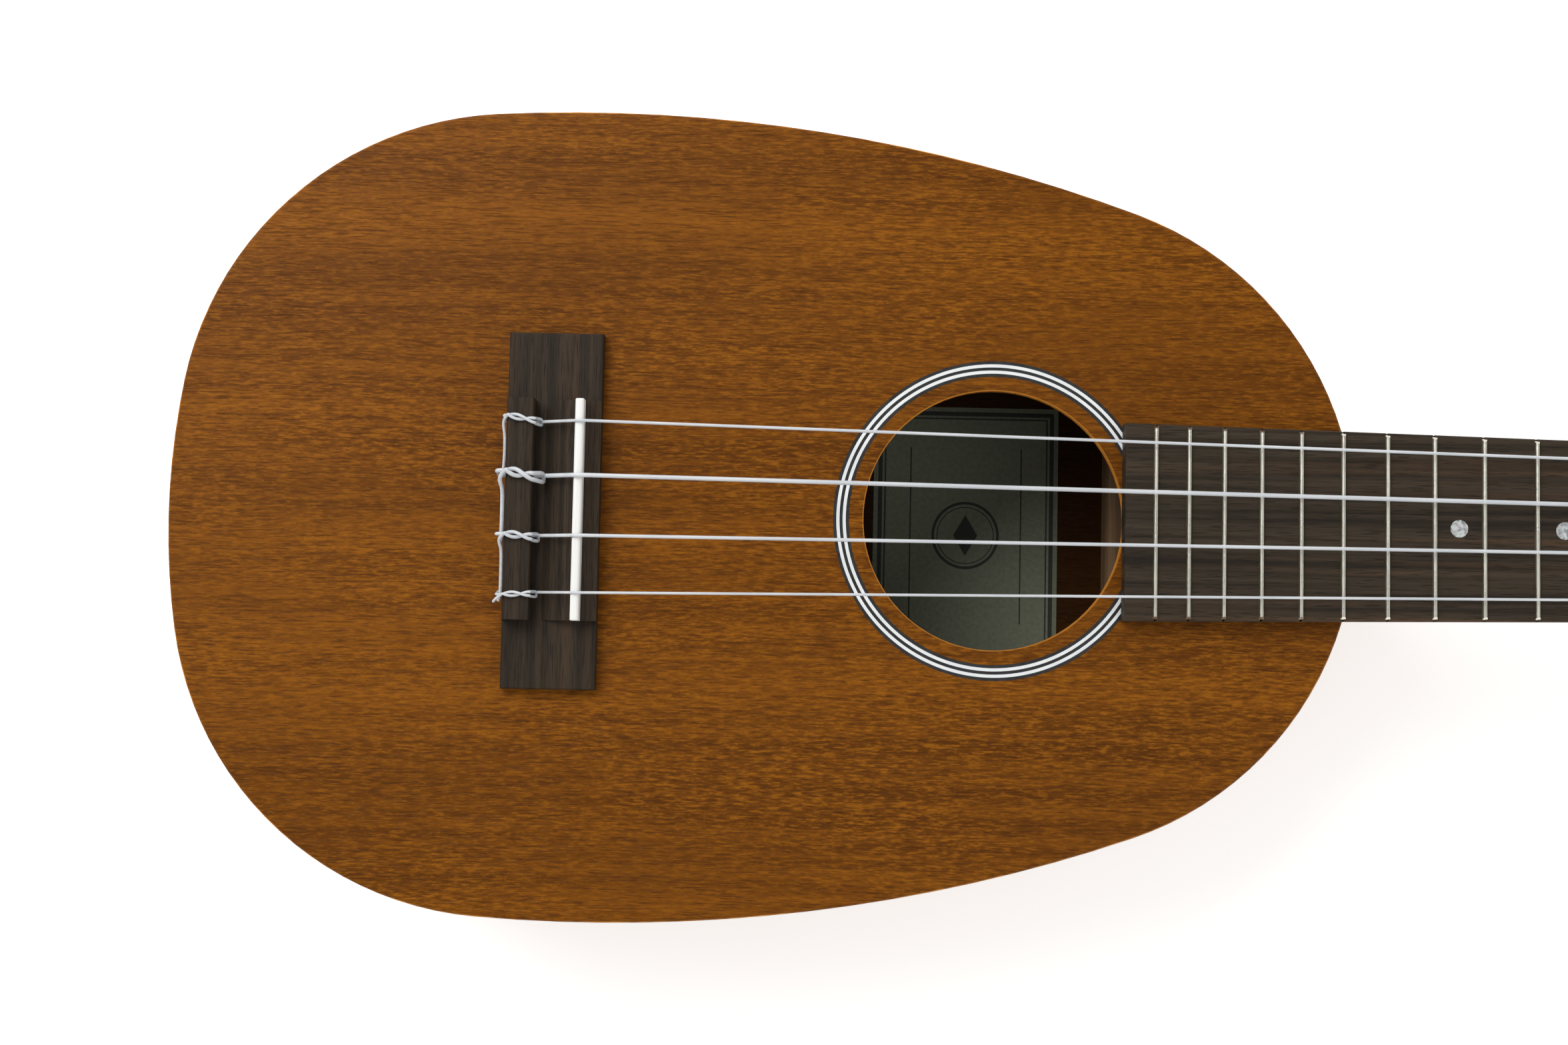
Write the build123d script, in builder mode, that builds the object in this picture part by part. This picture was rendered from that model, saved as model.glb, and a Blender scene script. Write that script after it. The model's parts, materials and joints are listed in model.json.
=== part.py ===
from build123d import *
import math
import os

os.makedirs("parts", exist_ok=True)

# Concert ukulele with an egg-shaped body, in millimetres.
# +X runs from the tail to the headstock, +Y points to the G string's side, +Z out of the soundboard.
# The origin lies on the flat back, on the centreline, halfway along the body.

# Body: radius and turn (degrees) of the arcs from the tail round one side. A last arc closes the outline.
SIDE_ARCS = [(171.7, 9.58), (76.5, 76.56), (370.4, 23.38)]
BODY_DEPTH = 65.0
PLATE_THICKNESS = 2.0
SIDE_THICKNESS = 1.8
EDGE_ROUND = 0.8
LINING_HEIGHT = 9.0
LINING_WIDTH = 5.0
LINING_FOOT = 1.5
TAIL_BLOCK = (14.0, 50.0)
NECK_BLOCK = (30.0, 62.0)

# Sound hole, rosette and label
HOLE_X = 52.7
HOLE_RADIUS = 29.8
RING_INNER = 33.1
RING_WIDTH = 0.72
RING_COUNT = 5
RING_DEPTH = 0.9
LABEL_SIZE = (48.4, 67.5)
LABEL_THICKNESS = 0.2
LABEL_CORNER = 1.0

# Braces
BRACE_GAP = 8.0
TOP_BRACE = (7.0, 9.0)
TOP_BRACE_XS = {"lower_brace": 14.5, "upper_brace": 94.0}
FAN_BRACE = (5.0, 6.0)
FAN_ANGLES = {-1: -7.0, 0: 0.0, 1: 7.0}
FAN_SPREAD = 27.0
FAN_X = (-116.0, 7.0)
BACK_BRACE = (7.0, 8.0)
BACK_BRACE_XS = [-88.0, -20.0, 92.0]
BRACE_ROUNDING = 0.4
FAN_CHAMFER = 1.2
BRIDGE_PLATE = (31.0, 94.0, 1.6)
BRIDGE_PLATE_CORNER = 4.0
PLATE_ROOM = 1.0
BLOCK_ROUND = 3.0

# Scale
SCALE = 381.0
SCALE_START_X = -38.2
FRET_COUNT = 19
NUT_FRONT_X = SCALE_START_X + SCALE

# Bridge and saddle: places along X, heights above the soundboard
BRIDGE_X = (-58.7, -37.2)
BRIDGE_LENGTH = 81.2
BRIDGE_MIDDLE = 50.0
WING_HEIGHT = 3.0
WING_ROUND = 0.4
BRIDGE_BACK_HEIGHT = 3.6
TIE_BLOCK_X = (-57.9, -52.15)
TIE_BLOCK_HEIGHT = 8.0
TIE_BLOCK_ROUND = 0.5
CHANNEL_FLOOR = 3.0
RAMP_X = (-49.8, -45.0)
RAMP_TOP = 5.2
SADDLE_LAND = 5.8
BRIDGE_FRONT_HEIGHT = 4.4
TIE_HOLE_HEIGHT = 4.2
TIE_HOLE_RADIUS = 0.8
SADDLE_X = (-42.75, -40.65)
SADDLE_FLOOR = 2.0
SADDLE_HEIGHT = 9.0
SADDLE_CREST_ROUND = 0.8
SADDLE_END_ROUND = 0.3

# Fretboard, frets, nut and dots
BOARD_END_X = 82.1
BOARD_END_WIDTH = 45.1
NUT_WIDTH = 35.5
BOARD_THICKNESS = 4.5
FRET_CROWN = (1.2, 1.0)
TANG = (0.5, 1.9)
FRET_INSET = 0.5
FRET_BEVEL = 0.6
DOT_FRETS = [5, 7, 10, 12]
DOT_RADIUS = 2.0
DOT_DEPTH = 1.2
SIDE_DOT_RADIUS = 0.9
SIDE_DOT_DEPTH = 1.5
BOARD_CHAMFER = 0.25
NUT_THICKNESS = 5.0
NUT_HEIGHT = 6.9
NUT_FALL = 1.2
NUT_ROUND = 0.5
SLOT_FALL = 1.1
SLOT_ROOM = 0.1

# Neck: lowest point under the soundboard's plane at places along X
NECK_DEPTHS = [(124, 78), (134, 76), (139, 66), (144, 50), (149, 37), (155, 27), (163, 20.5), (174, 17),
               (190, 15.6), (220, 15), (270, 14.4), (320, 13.8), (361, 12.8)]
HEEL_CAP_Z = 4.0
DOWEL_RADIUS = 4.0
DOWEL_LENGTH = 30.0
DOWEL_START_X = 112.0
DOWEL_ZS = [24.0, 44.0]
HEAD_TILT = 12.0
HEAD_THICKNESS = 12.0
HEADPLATE_THICKNESS = 1.5
HEAD_LENGTH = 114.0
HEAD_SHOULDER = 98.0
HEAD_HALF_WIDTH = 30.5
HEAD_FLARE = (-6.0, 3.0, 60.0)
HEAD_SHOULDER_RISE = 2.0
HEAD_CORNER_ROUND = 7.0
HEAD_TOP_DROP = 1.2
HEAD_RUN_OUT = (-7.0, 2.0, 17.0)

# Strings, from +Y to -Y: name, radius, place across the saddle, place across the nut
STRINGS = [("g", 0.35, 19.9, 13.5), ("c", 0.50, 7.6, 4.5), ("e", 0.40, -5.95, -4.5), ("a", 0.31, -18.75, -13.5)]
NUT_STRING_HEIGHT = 5.9
STRING_GAP = 0.06
SADDLE_GAP = 0.2
NUT_BEND = 1.0
TIE_REACH = 1.0
LOOP_LENGTH = 2.1
STRING_BENDS = [0.75, 0.75, 0.75, 1.5, 2.0, 6.0, 8.0]
RUN_IN = 5.0
LAST_TURN = 290.0

# Tuners: distance from the nut along the headstock, distance from the centreline
TUNER_PLACES = {"g": (34.0, 1), "c": (72.0, 1), "e": (72.0, -1), "a": (34.0, -1)}
POST_Y = 17.5
POST_RADIUS = 3.0
POST_ROOM = 0.3
WAIST_RADIUS = 2.4
WAIST_START = (0.3, 1.0)
POST_RISE = 14.0
POST_HEAD = (5.4, 4.4, 1.4)
POST_HEAD_RADIUS = 2.9
POST_TIP_RADIUS = 1.7
STEM_RADIUS = 2.0
STRING_HOLE_RADIUS = 0.7
STRING_HOLE_RISE = 1.6
WRAP_HEIGHT = 6.0
WRAP_TURNS = 3
WRAP_GAP = 0.02
FERRULE = (4.8, 4.0, 1.0, 8.0)
FERRULE_TAPER = 20
RUNNING_FIT = 0.07
PLATE_METAL = 1.0
PLATE_SIZE = (27.0, 2.5)
PLATE_SHIFT = 2.2
GEAR_TEETH = 14
MODULE = 0.6
PRESSURE_ANGLE = 20.0
FLANK_STEPS = 3
GEAR_WIDTH = 4.0
GEAR_START = 2.3
MESH_PLAY = 0.16
WORM_PITCH_RADIUS = 2.4
WORM_TURNS = 4
THREAD_ROOT = 0.15
JOURNAL_RADIUS = 1.5
COLLAR_RADIUS = 2.1
COLLAR_LENGTHS = (1.2, 0.8)
END_PLAY = 0.1
EAR_INNER = 5.6
EAR_METAL = 1.2
EAR_RADIUS = 3.4
EAR_SHORT = 0.2
BUTTON_START = 14.0
BUTTON_LENGTH = 13.5
BUTTON_SIZE = (14.0, 7.0)
BUTTON_CORNER = 4.8
BUTTON_ROUND = 2.4
BUTTON_BORE = 7.0
BUTTON_NECK = (2.8, 1.2, 2.5)
SCREW_ALONG = [-8.5, 12.6]
SCREW_RADIUS = 1.0
SCREW_LENGTH = 7.5
SCREW_HEAD = (2.1, 1.1, 25)
SCREW_SLOT = (0.5, 0.6)
GEAR_SCREW_LENGTH = 5.5
GEAR_SCREW_BORE = 6.0
GEAR_SCREW_HEAD = (2.6, 1.4, 15)
GEAR_SCREW_SLOT = (0.6, 0.7)

SOUNDBOARD_Z = BODY_DEPTH
RIM_Z = BODY_DEPTH - PLATE_THICKNESS
RIM_HEIGHT = RIM_Z - PLATE_THICKNESS
BOARD_TOP_Z = SOUNDBOARD_Z + BOARD_THICKNESS
NUT_BACK_X = NUT_FRONT_X + NUT_THICKNESS
AXIAL_PITCH = math.pi * MODULE
ROOT_DEPTH = 1.25 * MODULE
GEAR_PITCH_RADIUS = MODULE * GEAR_TEETH / 2
GEAR_AXIS_DISTANCE = GEAR_PITCH_RADIUS + WORM_PITCH_RADIUS
GEAR_TIP_RADIUS = GEAR_PITCH_RADIUS + MODULE
GEAR_ROOT_RADIUS = GEAR_PITCH_RADIUS - ROOT_DEPTH
WORM_CORE_RADIUS = WORM_PITCH_RADIUS - ROOT_DEPTH
WORM_DEPTH = GEAR_START + GEAR_WIDTH / 2
LEAD_SLOPE = AXIAL_PITCH / (2 * math.pi * WORM_PITCH_RADIUS)


def cosd(angle):
    return math.cos(math.radians(angle))


def sind(angle):
    return math.sin(math.radians(angle))


def closed_side():
    """All arcs of one side, the last one worked out so that it ends square on the centreline."""
    heading = 90.0
    sideways = 0.0
    for radius, turn in SIDE_ARCS:
        sideways += radius * (cosd(heading - turn) - cosd(heading))
        heading -= turn
    return SIDE_ARCS + [(sideways / cosd(heading), heading + 90)]


def side_length(arcs):
    """Distance along X that the arcs of one side cover."""
    heading = 90.0
    length = 0.0
    for radius, turn in arcs:
        length += radius * (sind(heading) - sind(heading - turn))
        heading -= turn
    return length


OUTLINE_ARCS = closed_side()
BODY_LENGTH = side_length(OUTLINE_ARCS)
BODY_END_X = BODY_LENGTH / 2


def body_profile(inset, height):
    """The egg-shaped outline as a face at a height, moved inwards by inset."""
    with BuildSketch(Plane.XY.offset(height)) as profile:
        with BuildLine():
            corner = (-BODY_END_X + inset, 0)
            heading = (0, 1)
            for radius, turn in OUTLINE_ARCS:
                arc = JernArc(corner, heading, radius - inset, -turn)
                corner = arc @ 1
                heading = arc % 1
            mirror(about=Plane.XZ)
        make_face()
    return profile.sketch


def board_width(x):
    """Width of the tapered fretboard at a place along the neck."""
    along = (x - BOARD_END_X) / (NUT_FRONT_X - BOARD_END_X)
    return BOARD_END_WIDTH + (NUT_WIDTH - BOARD_END_WIDTH) * along


def fret_x(number):
    """Place of a fret: each fret shortens the string by the twelfth root of two."""
    return SCALE_START_X + SCALE * 2 ** (-number / 12)


# ---------------------------------------------------------------------------- body shell

with BuildPart() as soundboard:
    extrude(body_profile(0, RIM_Z), amount=PLATE_THICKNESS)
    fillet(soundboard.faces().sort_by(Axis.Z)[-1].edges(), EDGE_ROUND)
    with BuildSketch(Plane.XY.offset(SOUNDBOARD_Z)):
        with Locations((HOLE_X, 0)):
            Circle(HOLE_RADIUS)
    extrude(amount=-PLATE_THICKNESS, mode=Mode.SUBTRACT)
    with BuildSketch(Plane.XY.offset(SOUNDBOARD_Z)):
        with Locations((HOLE_X, 0)):
            Circle(RING_INNER + RING_COUNT * RING_WIDTH)
            Circle(RING_INNER, mode=Mode.SUBTRACT)
    extrude(amount=-RING_DEPTH, mode=Mode.SUBTRACT)
soundboard.part.label = "soundboard"
export_step(soundboard.part, "parts/soundboard.step")

with BuildPart() as back:
    extrude(body_profile(0, 0), amount=PLATE_THICKNESS)
    fillet(back.faces().sort_by(Axis.Z)[0].edges(), EDGE_ROUND)
back.part.label = "back"
export_step(back.part, "parts/back.step")

for name, side in (("side_bass", 1), ("side_treble", -1)):
    with BuildPart() as rib:
        extrude(body_profile(0, PLATE_THICKNESS), amount=RIM_HEIGHT)
        extrude(body_profile(SIDE_THICKNESS, PLATE_THICKNESS), amount=RIM_HEIGHT, mode=Mode.SUBTRACT)
        with BuildSketch(Plane.YZ.offset(DOWEL_START_X)):
            with Locations(*[(0, z) for z in DOWEL_ZS]):
                Circle(DOWEL_RADIUS)
        extrude(amount=DOWEL_LENGTH, mode=Mode.SUBTRACT)
        split(bisect_by=Plane(origin=(0, 0, 0), z_dir=(0, side, 0)), keep=Keep.TOP)
    rib.part.label = name
    export_step(rib.part, f"parts/{name}.step")

# ---------------------------------------------------------------------------- inside the body

with BuildPart() as tail_block:
    extrude(body_profile(SIDE_THICKNESS, PLATE_THICKNESS), amount=RIM_HEIGHT)
    with BuildSketch(Plane.XY.offset(PLATE_THICKNESS)):
        with Locations((-BODY_END_X, 0)):
            Rectangle(2 * (SIDE_THICKNESS + TAIL_BLOCK[0]), TAIL_BLOCK[1])
    extrude(amount=RIM_HEIGHT, mode=Mode.INTERSECT)
    fillet(tail_block.edges().filter_by(Axis.Z).group_by(Axis.X)[-1], BLOCK_ROUND)
tail_block.part.label = "tail_block"
export_step(tail_block.part, "parts/tail_block.step")

with BuildPart() as neck_block:
    extrude(body_profile(SIDE_THICKNESS, PLATE_THICKNESS), amount=RIM_HEIGHT)
    with BuildSketch(Plane.XY.offset(PLATE_THICKNESS)):
        with Locations((BODY_END_X, 0)):
            Rectangle(2 * (SIDE_THICKNESS + NECK_BLOCK[0]), NECK_BLOCK[1])
    extrude(amount=RIM_HEIGHT, mode=Mode.INTERSECT)
    fillet(neck_block.edges().filter_by(Axis.Z).group_by(Axis.X)[0], BLOCK_ROUND)
    with BuildSketch(Plane.YZ.offset(DOWEL_START_X)):
        with Locations(*[(0, z) for z in DOWEL_ZS]):
            Circle(DOWEL_RADIUS)
    extrude(amount=DOWEL_LENGTH, mode=Mode.SUBTRACT)
neck_block.part.label = "neck_block"
export_step(neck_block.part, "parts/neck_block.step")

# Linings: strips of triangular section that widen towards the plate they hold.
LINING_INNER = SIDE_THICKNESS + LINING_WIDTH
LINING_EDGE = SIDE_THICKNESS + LINING_FOOT
for name, plate_z, edge_z in (("top_linings", RIM_Z, RIM_Z - LINING_HEIGHT),
                              ("back_linings", PLATE_THICKNESS, PLATE_THICKNESS + LINING_HEIGHT)):
    with BuildPart() as linings:
        extrude(body_profile(SIDE_THICKNESS, min(plate_z, edge_z)), amount=LINING_HEIGHT)
        loft([body_profile(LINING_INNER, plate_z).face(), body_profile(LINING_EDGE, edge_z).face()],
             ruled=True, mode=Mode.SUBTRACT)
        with BuildSketch(Plane.XY):
            with Locations((-BODY_END_X, 0)):
                Rectangle(2 * (SIDE_THICKNESS + TAIL_BLOCK[0]), TAIL_BLOCK[1])
            with Locations((BODY_END_X, 0)):
                Rectangle(2 * (SIDE_THICKNESS + NECK_BLOCK[0]), NECK_BLOCK[1])
        extrude(amount=BODY_DEPTH, mode=Mode.SUBTRACT)
    linings.part.label = name
    export_step(linings.part, f"parts/{name}.step")

for name, x in TOP_BRACE_XS.items():
    with BuildPart() as brace:
        with BuildSketch(Plane.XZ):
            with Locations((x, RIM_Z - TOP_BRACE[1] / 2)):
                Rectangle(*TOP_BRACE)
        extrude(amount=BODY_END_X, both=True)
        fillet(brace.edges().filter_by(Axis.Y).group_by(Axis.Z)[0], TOP_BRACE[0] * BRACE_ROUNDING)
        extrude(body_profile(BRACE_GAP, PLATE_THICKNESS), amount=RIM_HEIGHT, mode=Mode.INTERSECT)
    brace.part.label = name
    export_step(brace.part, f"parts/{name}.step")

BRIDGE_MID_X = sum(BRIDGE_X) / 2
with BuildPart() as bridge_plate:
    with BuildSketch(Plane.XY.offset(RIM_Z)):
        with Locations((BRIDGE_MID_X, 0)):
            RectangleRounded(BRIDGE_PLATE[0], BRIDGE_PLATE[1], BRIDGE_PLATE_CORNER)
    extrude(amount=-BRIDGE_PLATE[2])
bridge_plate.part.label = "bridge_plate"
export_step(bridge_plate.part, "parts/bridge_plate.step")

with BuildPart() as fan_braces:
    for place, angle in FAN_ANGLES.items():
        with BuildSketch(Plane.XY.offset(RIM_Z)):
            with Locations(Location((sum(FAN_X) / 2, place * FAN_SPREAD, 0), (0, 0, -angle))):
                Rectangle(FAN_X[1] - FAN_X[0], FAN_BRACE[0])
        extrude(amount=-FAN_BRACE[1])
    chamfer(fan_braces.faces().group_by(Axis.Z)[0].edges(), FAN_CHAMFER)
    with BuildSketch(Plane.XY.offset(RIM_Z)):
        with Locations((BRIDGE_MID_X, 0)):
            Rectangle(BRIDGE_PLATE[0] + PLATE_ROOM, BRIDGE_PLATE[1] + PLATE_ROOM)
    extrude(amount=-BRIDGE_PLATE[2], mode=Mode.SUBTRACT)
fan_braces.part.label = "fan_braces"
export_step(fan_braces.part, "parts/fan_braces.step")

with BuildPart() as back_braces:
    for x in BACK_BRACE_XS:
        with BuildSketch(Plane.XZ):
            with Locations((x, PLATE_THICKNESS + BACK_BRACE[1] / 2)):
                Rectangle(*BACK_BRACE)
        extrude(amount=BODY_END_X, both=True)
    fillet(back_braces.edges().filter_by(Axis.Y).group_by(Axis.Z)[-1], BACK_BRACE[0] * BRACE_ROUNDING)
    extrude(body_profile(BRACE_GAP, PLATE_THICKNESS), amount=RIM_HEIGHT, mode=Mode.INTERSECT)
back_braces.part.label = "back_braces"
export_step(back_braces.part, "parts/back_braces.step")

with BuildPart() as label:
    with BuildSketch(Plane.XY.offset(PLATE_THICKNESS)):
        with Locations((HOLE_X, 0)):
            RectangleRounded(LABEL_SIZE[0], LABEL_SIZE[1], LABEL_CORNER)
    extrude(amount=LABEL_THICKNESS)
label.part.label = "label"
export_step(label.part, "parts/label.step")

# ---------------------------------------------------------------------------- rosette

for name, first in (("rosette_black", 4), ("rosette_white", 3)):
    with BuildPart() as rings:
        with BuildSketch(Plane.XY.offset(SOUNDBOARD_Z)):
            with Locations((HOLE_X, 0)):
                for ring in range(first, -1, -2):
                    Circle(RING_INNER + (ring + 1) * RING_WIDTH)
                    Circle(RING_INNER + ring * RING_WIDTH, mode=Mode.SUBTRACT)
        extrude(amount=-RING_DEPTH)
    rings.part.label = name
    export_step(rings.part, f"parts/{name}.step")

# ---------------------------------------------------------------------------- bridge and saddle

with BuildPart() as bridge:
    with BuildSketch(Plane.XY.offset(SOUNDBOARD_Z)):
        with Locations((BRIDGE_MID_X, 0)):
            Rectangle(BRIDGE_X[1] - BRIDGE_X[0], BRIDGE_LENGTH)
    extrude(amount=WING_HEIGHT)
    fillet(bridge.faces().sort_by(Axis.Z)[-1].edges(), WING_ROUND)
    with BuildSketch(Plane.XZ):
        with BuildLine():
            Polyline(
                (BRIDGE_X[0], SOUNDBOARD_Z),
                (BRIDGE_X[0], SOUNDBOARD_Z + BRIDGE_BACK_HEIGHT),
                (TIE_BLOCK_X[0], SOUNDBOARD_Z + TIE_BLOCK_HEIGHT),
                (TIE_BLOCK_X[1], SOUNDBOARD_Z + TIE_BLOCK_HEIGHT),
                (TIE_BLOCK_X[1], SOUNDBOARD_Z + CHANNEL_FLOOR),
                (RAMP_X[0], SOUNDBOARD_Z + CHANNEL_FLOOR),
                (RAMP_X[1], SOUNDBOARD_Z + RAMP_TOP),
                (SADDLE_X[1], SOUNDBOARD_Z + SADDLE_LAND),
                (BRIDGE_X[1], SOUNDBOARD_Z + BRIDGE_FRONT_HEIGHT),
                (BRIDGE_X[1], SOUNDBOARD_Z),
                close=True,
            )
        make_face()
    extrude(amount=BRIDGE_MIDDLE / 2, both=True)
    fillet(bridge.edges().filter_by(Axis.Y).group_by(Axis.Z)[-1], TIE_BLOCK_ROUND)
    with BuildSketch(Plane.XY.offset(SOUNDBOARD_Z + SADDLE_FLOOR)):
        with Locations((sum(SADDLE_X) / 2, 0)):
            Rectangle(SADDLE_X[1] - SADDLE_X[0], BRIDGE_MIDDLE)
    extrude(amount=SADDLE_HEIGHT, mode=Mode.SUBTRACT)
    with BuildSketch(Plane.YZ.offset(BRIDGE_X[0])):
        with Locations(*[(y, SOUNDBOARD_Z + TIE_HOLE_HEIGHT) for _, _, y, _ in STRINGS]):
            Circle(TIE_HOLE_RADIUS)
    extrude(amount=RAMP_X[0] - BRIDGE_X[0], mode=Mode.SUBTRACT)
bridge.part.label = "bridge"
export_step(bridge.part, "parts/bridge.step")

with BuildPart() as saddle:
    with BuildSketch(Plane.XY.offset(SOUNDBOARD_Z + SADDLE_FLOOR)):
        with Locations((sum(SADDLE_X) / 2, 0)):
            Rectangle(SADDLE_X[1] - SADDLE_X[0], BRIDGE_MIDDLE)
    extrude(amount=SADDLE_HEIGHT - SADDLE_FLOOR)
    fillet(saddle.edges().filter_by(Axis.Y).group_by(Axis.Z)[-1], SADDLE_CREST_ROUND)
    fillet(saddle.edges().filter_by(Axis.Z), SADDLE_END_ROUND)
saddle.part.label = "saddle"
export_step(saddle.part, "parts/saddle.step")

# ---------------------------------------------------------------------------- headstock frame

# Directions of the tilted headstock: along it, out of its face, and the plane of the headplate's top.
ALONG = Vector(cosd(HEAD_TILT), 0, -sind(HEAD_TILT))
OUT = Vector(sind(HEAD_TILT), 0, cosd(HEAD_TILT))
ACROSS = Vector(0, 1, 0)
HEAD_ORIGIN = Vector(NUT_BACK_X, 0, BOARD_TOP_Z - HEAD_TOP_DROP)


def head_point(along, across, height):
    """A point given by the headstock's own directions, height counted from the headplate's top."""
    return HEAD_ORIGIN + ALONG * along + ACROSS * across + OUT * height


def head_plane(along, across, height):
    """A plane parallel to the headstock's face, its normal out of the face."""
    return Plane(origin=head_point(along, across, height), x_dir=ALONG, z_dir=OUT)


BACK_FACE = -HEADPLATE_THICKNESS - HEAD_THICKNESS
POSTS = {name: (along, side * POST_Y, side) for name, (along, side) in TUNER_PLACES.items()}
POST_CENTRES = [(along, across) for along, across, _ in POSTS.values()]


def headstock_outline():
    """Flaring sides and a shallow round crown, as a face on the plain XY plane."""
    with BuildSketch() as outline:
        with BuildLine():
            flare = HEAD_HALF_WIDTH - HEAD_SHOULDER_RISE - NUT_WIDTH / 2
            start_x, bend_x, bend = HEAD_FLARE
            start = Line((start_x, NUT_WIDTH / 2), (bend_x, NUT_WIDTH / 2))
            out = JernArc(start @ 1, (1, 0), flare, bend)
            back_again = JernArc(out @ 1, out % 1, flare, -bend)
            Line(back_again @ 1, (HEAD_SHOULDER, HEAD_HALF_WIDTH))
            crown_radius = (HEAD_HALF_WIDTH ** 2 + (HEAD_LENGTH - HEAD_SHOULDER) ** 2)
            crown_radius /= 2 * (HEAD_LENGTH - HEAD_SHOULDER)
            half_angle = math.degrees(math.asin(HEAD_HALF_WIDTH / crown_radius))
            CenterArc((HEAD_LENGTH - crown_radius, 0), crown_radius, 0, half_angle)
            mirror(about=Plane.XZ)
            Line((start_x, NUT_WIDTH / 2), (start_x, -NUT_WIDTH / 2))
        make_face()
        corners = outline.vertices().sort_by(Axis.X)[-3:]
        fillet([corner for corner in corners if abs(corner.Y) > 1], HEAD_CORNER_ROUND)
    return outline.sketch


# ---------------------------------------------------------------------------- neck

SCREW_PLACES = []
for along, across, _ in POSTS.values():
    for offset in SCREW_ALONG:
        SCREW_PLACES.append((along + offset, across))

# The headstock's core, its end cut away on a slope so that the neck's round back runs out into the flat one.
with BuildPart() as head_slab:
    with BuildSketch(head_plane(0, 0, -HEADPLATE_THICKNESS)):
        add(headstock_outline())
    extrude(amount=-HEAD_THICKNESS)
    cut_start, cut_depth, cut_end = HEAD_RUN_OUT
    with BuildSketch(Plane(origin=HEAD_ORIGIN, x_dir=ALONG, z_dir=(0, -1, 0))):
        with BuildLine():
            Polyline(
                (cut_start, -HEADPLATE_THICKNESS - cut_depth),
                (cut_end, BACK_FACE),
                (cut_end, BACK_FACE - cut_depth),
                (cut_start, BACK_FACE - cut_depth),
                close=True,
            )
        make_face()
    extrude(amount=HEAD_HALF_WIDTH, both=True, mode=Mode.SUBTRACT)

with BuildPart() as neck:
    for x, depth in NECK_DEPTHS:
        half_width = board_width(x) / 2
        with BuildSketch(Plane.YZ.offset(x)):
            with BuildLine():
                Line((half_width, SOUNDBOARD_Z), (-half_width, SOUNDBOARD_Z))
                EllipticalCenterArc((0, SOUNDBOARD_Z), half_width, depth, start_angle=180, arc_size=180)
            make_face()
    loft()
    extrude(body_profile(0, -2 * BODY_DEPTH), amount=4 * BODY_DEPTH, mode=Mode.SUBTRACT)
    with BuildSketch(Plane.XY.offset(HEEL_CAP_Z)):
        with Locations((BODY_END_X, 0)):
            Rectangle(BODY_LENGTH, BODY_LENGTH)
    extrude(amount=-BODY_DEPTH, mode=Mode.SUBTRACT)
    with BuildSketch(head_plane(0, 0, -HEADPLATE_THICKNESS)):
        Rectangle(2 * NUT_WIDTH, 2 * NUT_WIDTH)
    extrude(amount=HEAD_THICKNESS, mode=Mode.SUBTRACT)
    add(head_slab.part)
    with BuildSketch(Plane.XY.offset(SOUNDBOARD_Z)):
        with Locations((NUT_BACK_X - BODY_END_X / 2, 0)):
            Rectangle(BODY_END_X, BODY_END_X)
    extrude(amount=BODY_DEPTH, mode=Mode.SUBTRACT)
    with BuildSketch(head_plane(0, 0, -HEADPLATE_THICKNESS)):
        with Locations(*POST_CENTRES):
            Circle(FERRULE[1])
    extrude(amount=-(FERRULE[3] - HEADPLATE_THICKNESS), mode=Mode.SUBTRACT)
    with BuildSketch(head_plane(0, 0, BACK_FACE)):
        with Locations(*POST_CENTRES):
            Circle(POST_RADIUS + POST_ROOM)
        with Locations(*SCREW_PLACES):
            Circle(SCREW_RADIUS)
    extrude(amount=SCREW_LENGTH, mode=Mode.SUBTRACT)
    with BuildSketch(Plane.YZ.offset(DOWEL_START_X)):
        with Locations(*[(0, z) for z in DOWEL_ZS]):
            Circle(DOWEL_RADIUS)
    extrude(amount=DOWEL_LENGTH, mode=Mode.SUBTRACT)
neck.part.label = "neck"
export_step(neck.part, "parts/neck.step")

with BuildPart() as neck_dowels:
    with BuildSketch(Plane.YZ.offset(DOWEL_START_X)):
        with Locations(*[(0, z) for z in DOWEL_ZS]):
            Circle(DOWEL_RADIUS)
    extrude(amount=DOWEL_LENGTH)
neck_dowels.part.label = "neck_dowels"
export_step(neck_dowels.part, "parts/neck_dowels.step")

with BuildPart() as headplate:
    with BuildSketch(head_plane(0, 0, -HEADPLATE_THICKNESS)):
        add(headstock_outline())
        with Locations(*POST_CENTRES):
            Circle(FERRULE[1], mode=Mode.SUBTRACT)
    extrude(amount=HEADPLATE_THICKNESS)
    with BuildSketch(Plane.XY.offset(SOUNDBOARD_Z)):
        with Locations((NUT_BACK_X - BODY_END_X / 2, 0)):
            Rectangle(BODY_END_X, BODY_END_X)
    extrude(amount=BODY_DEPTH, mode=Mode.SUBTRACT)
headplate.part.label = "headplate"
export_step(headplate.part, "parts/headplate.step")

# ---------------------------------------------------------------------------- fretboard, frets and dots


def dot_x(number):
    """Middle of the space behind a fret."""
    return (fret_x(number) + fret_x(number - 1)) / 2


def side_plane(x):
    """A plane across the fretboard's side at the bottom of a side dot, its normal out of the side."""
    return Plane(origin=(x, board_width(x) / 2 - SIDE_DOT_DEPTH, 0), x_dir=(-1, 0, 0), z_dir=(0, 1, 0))


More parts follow.
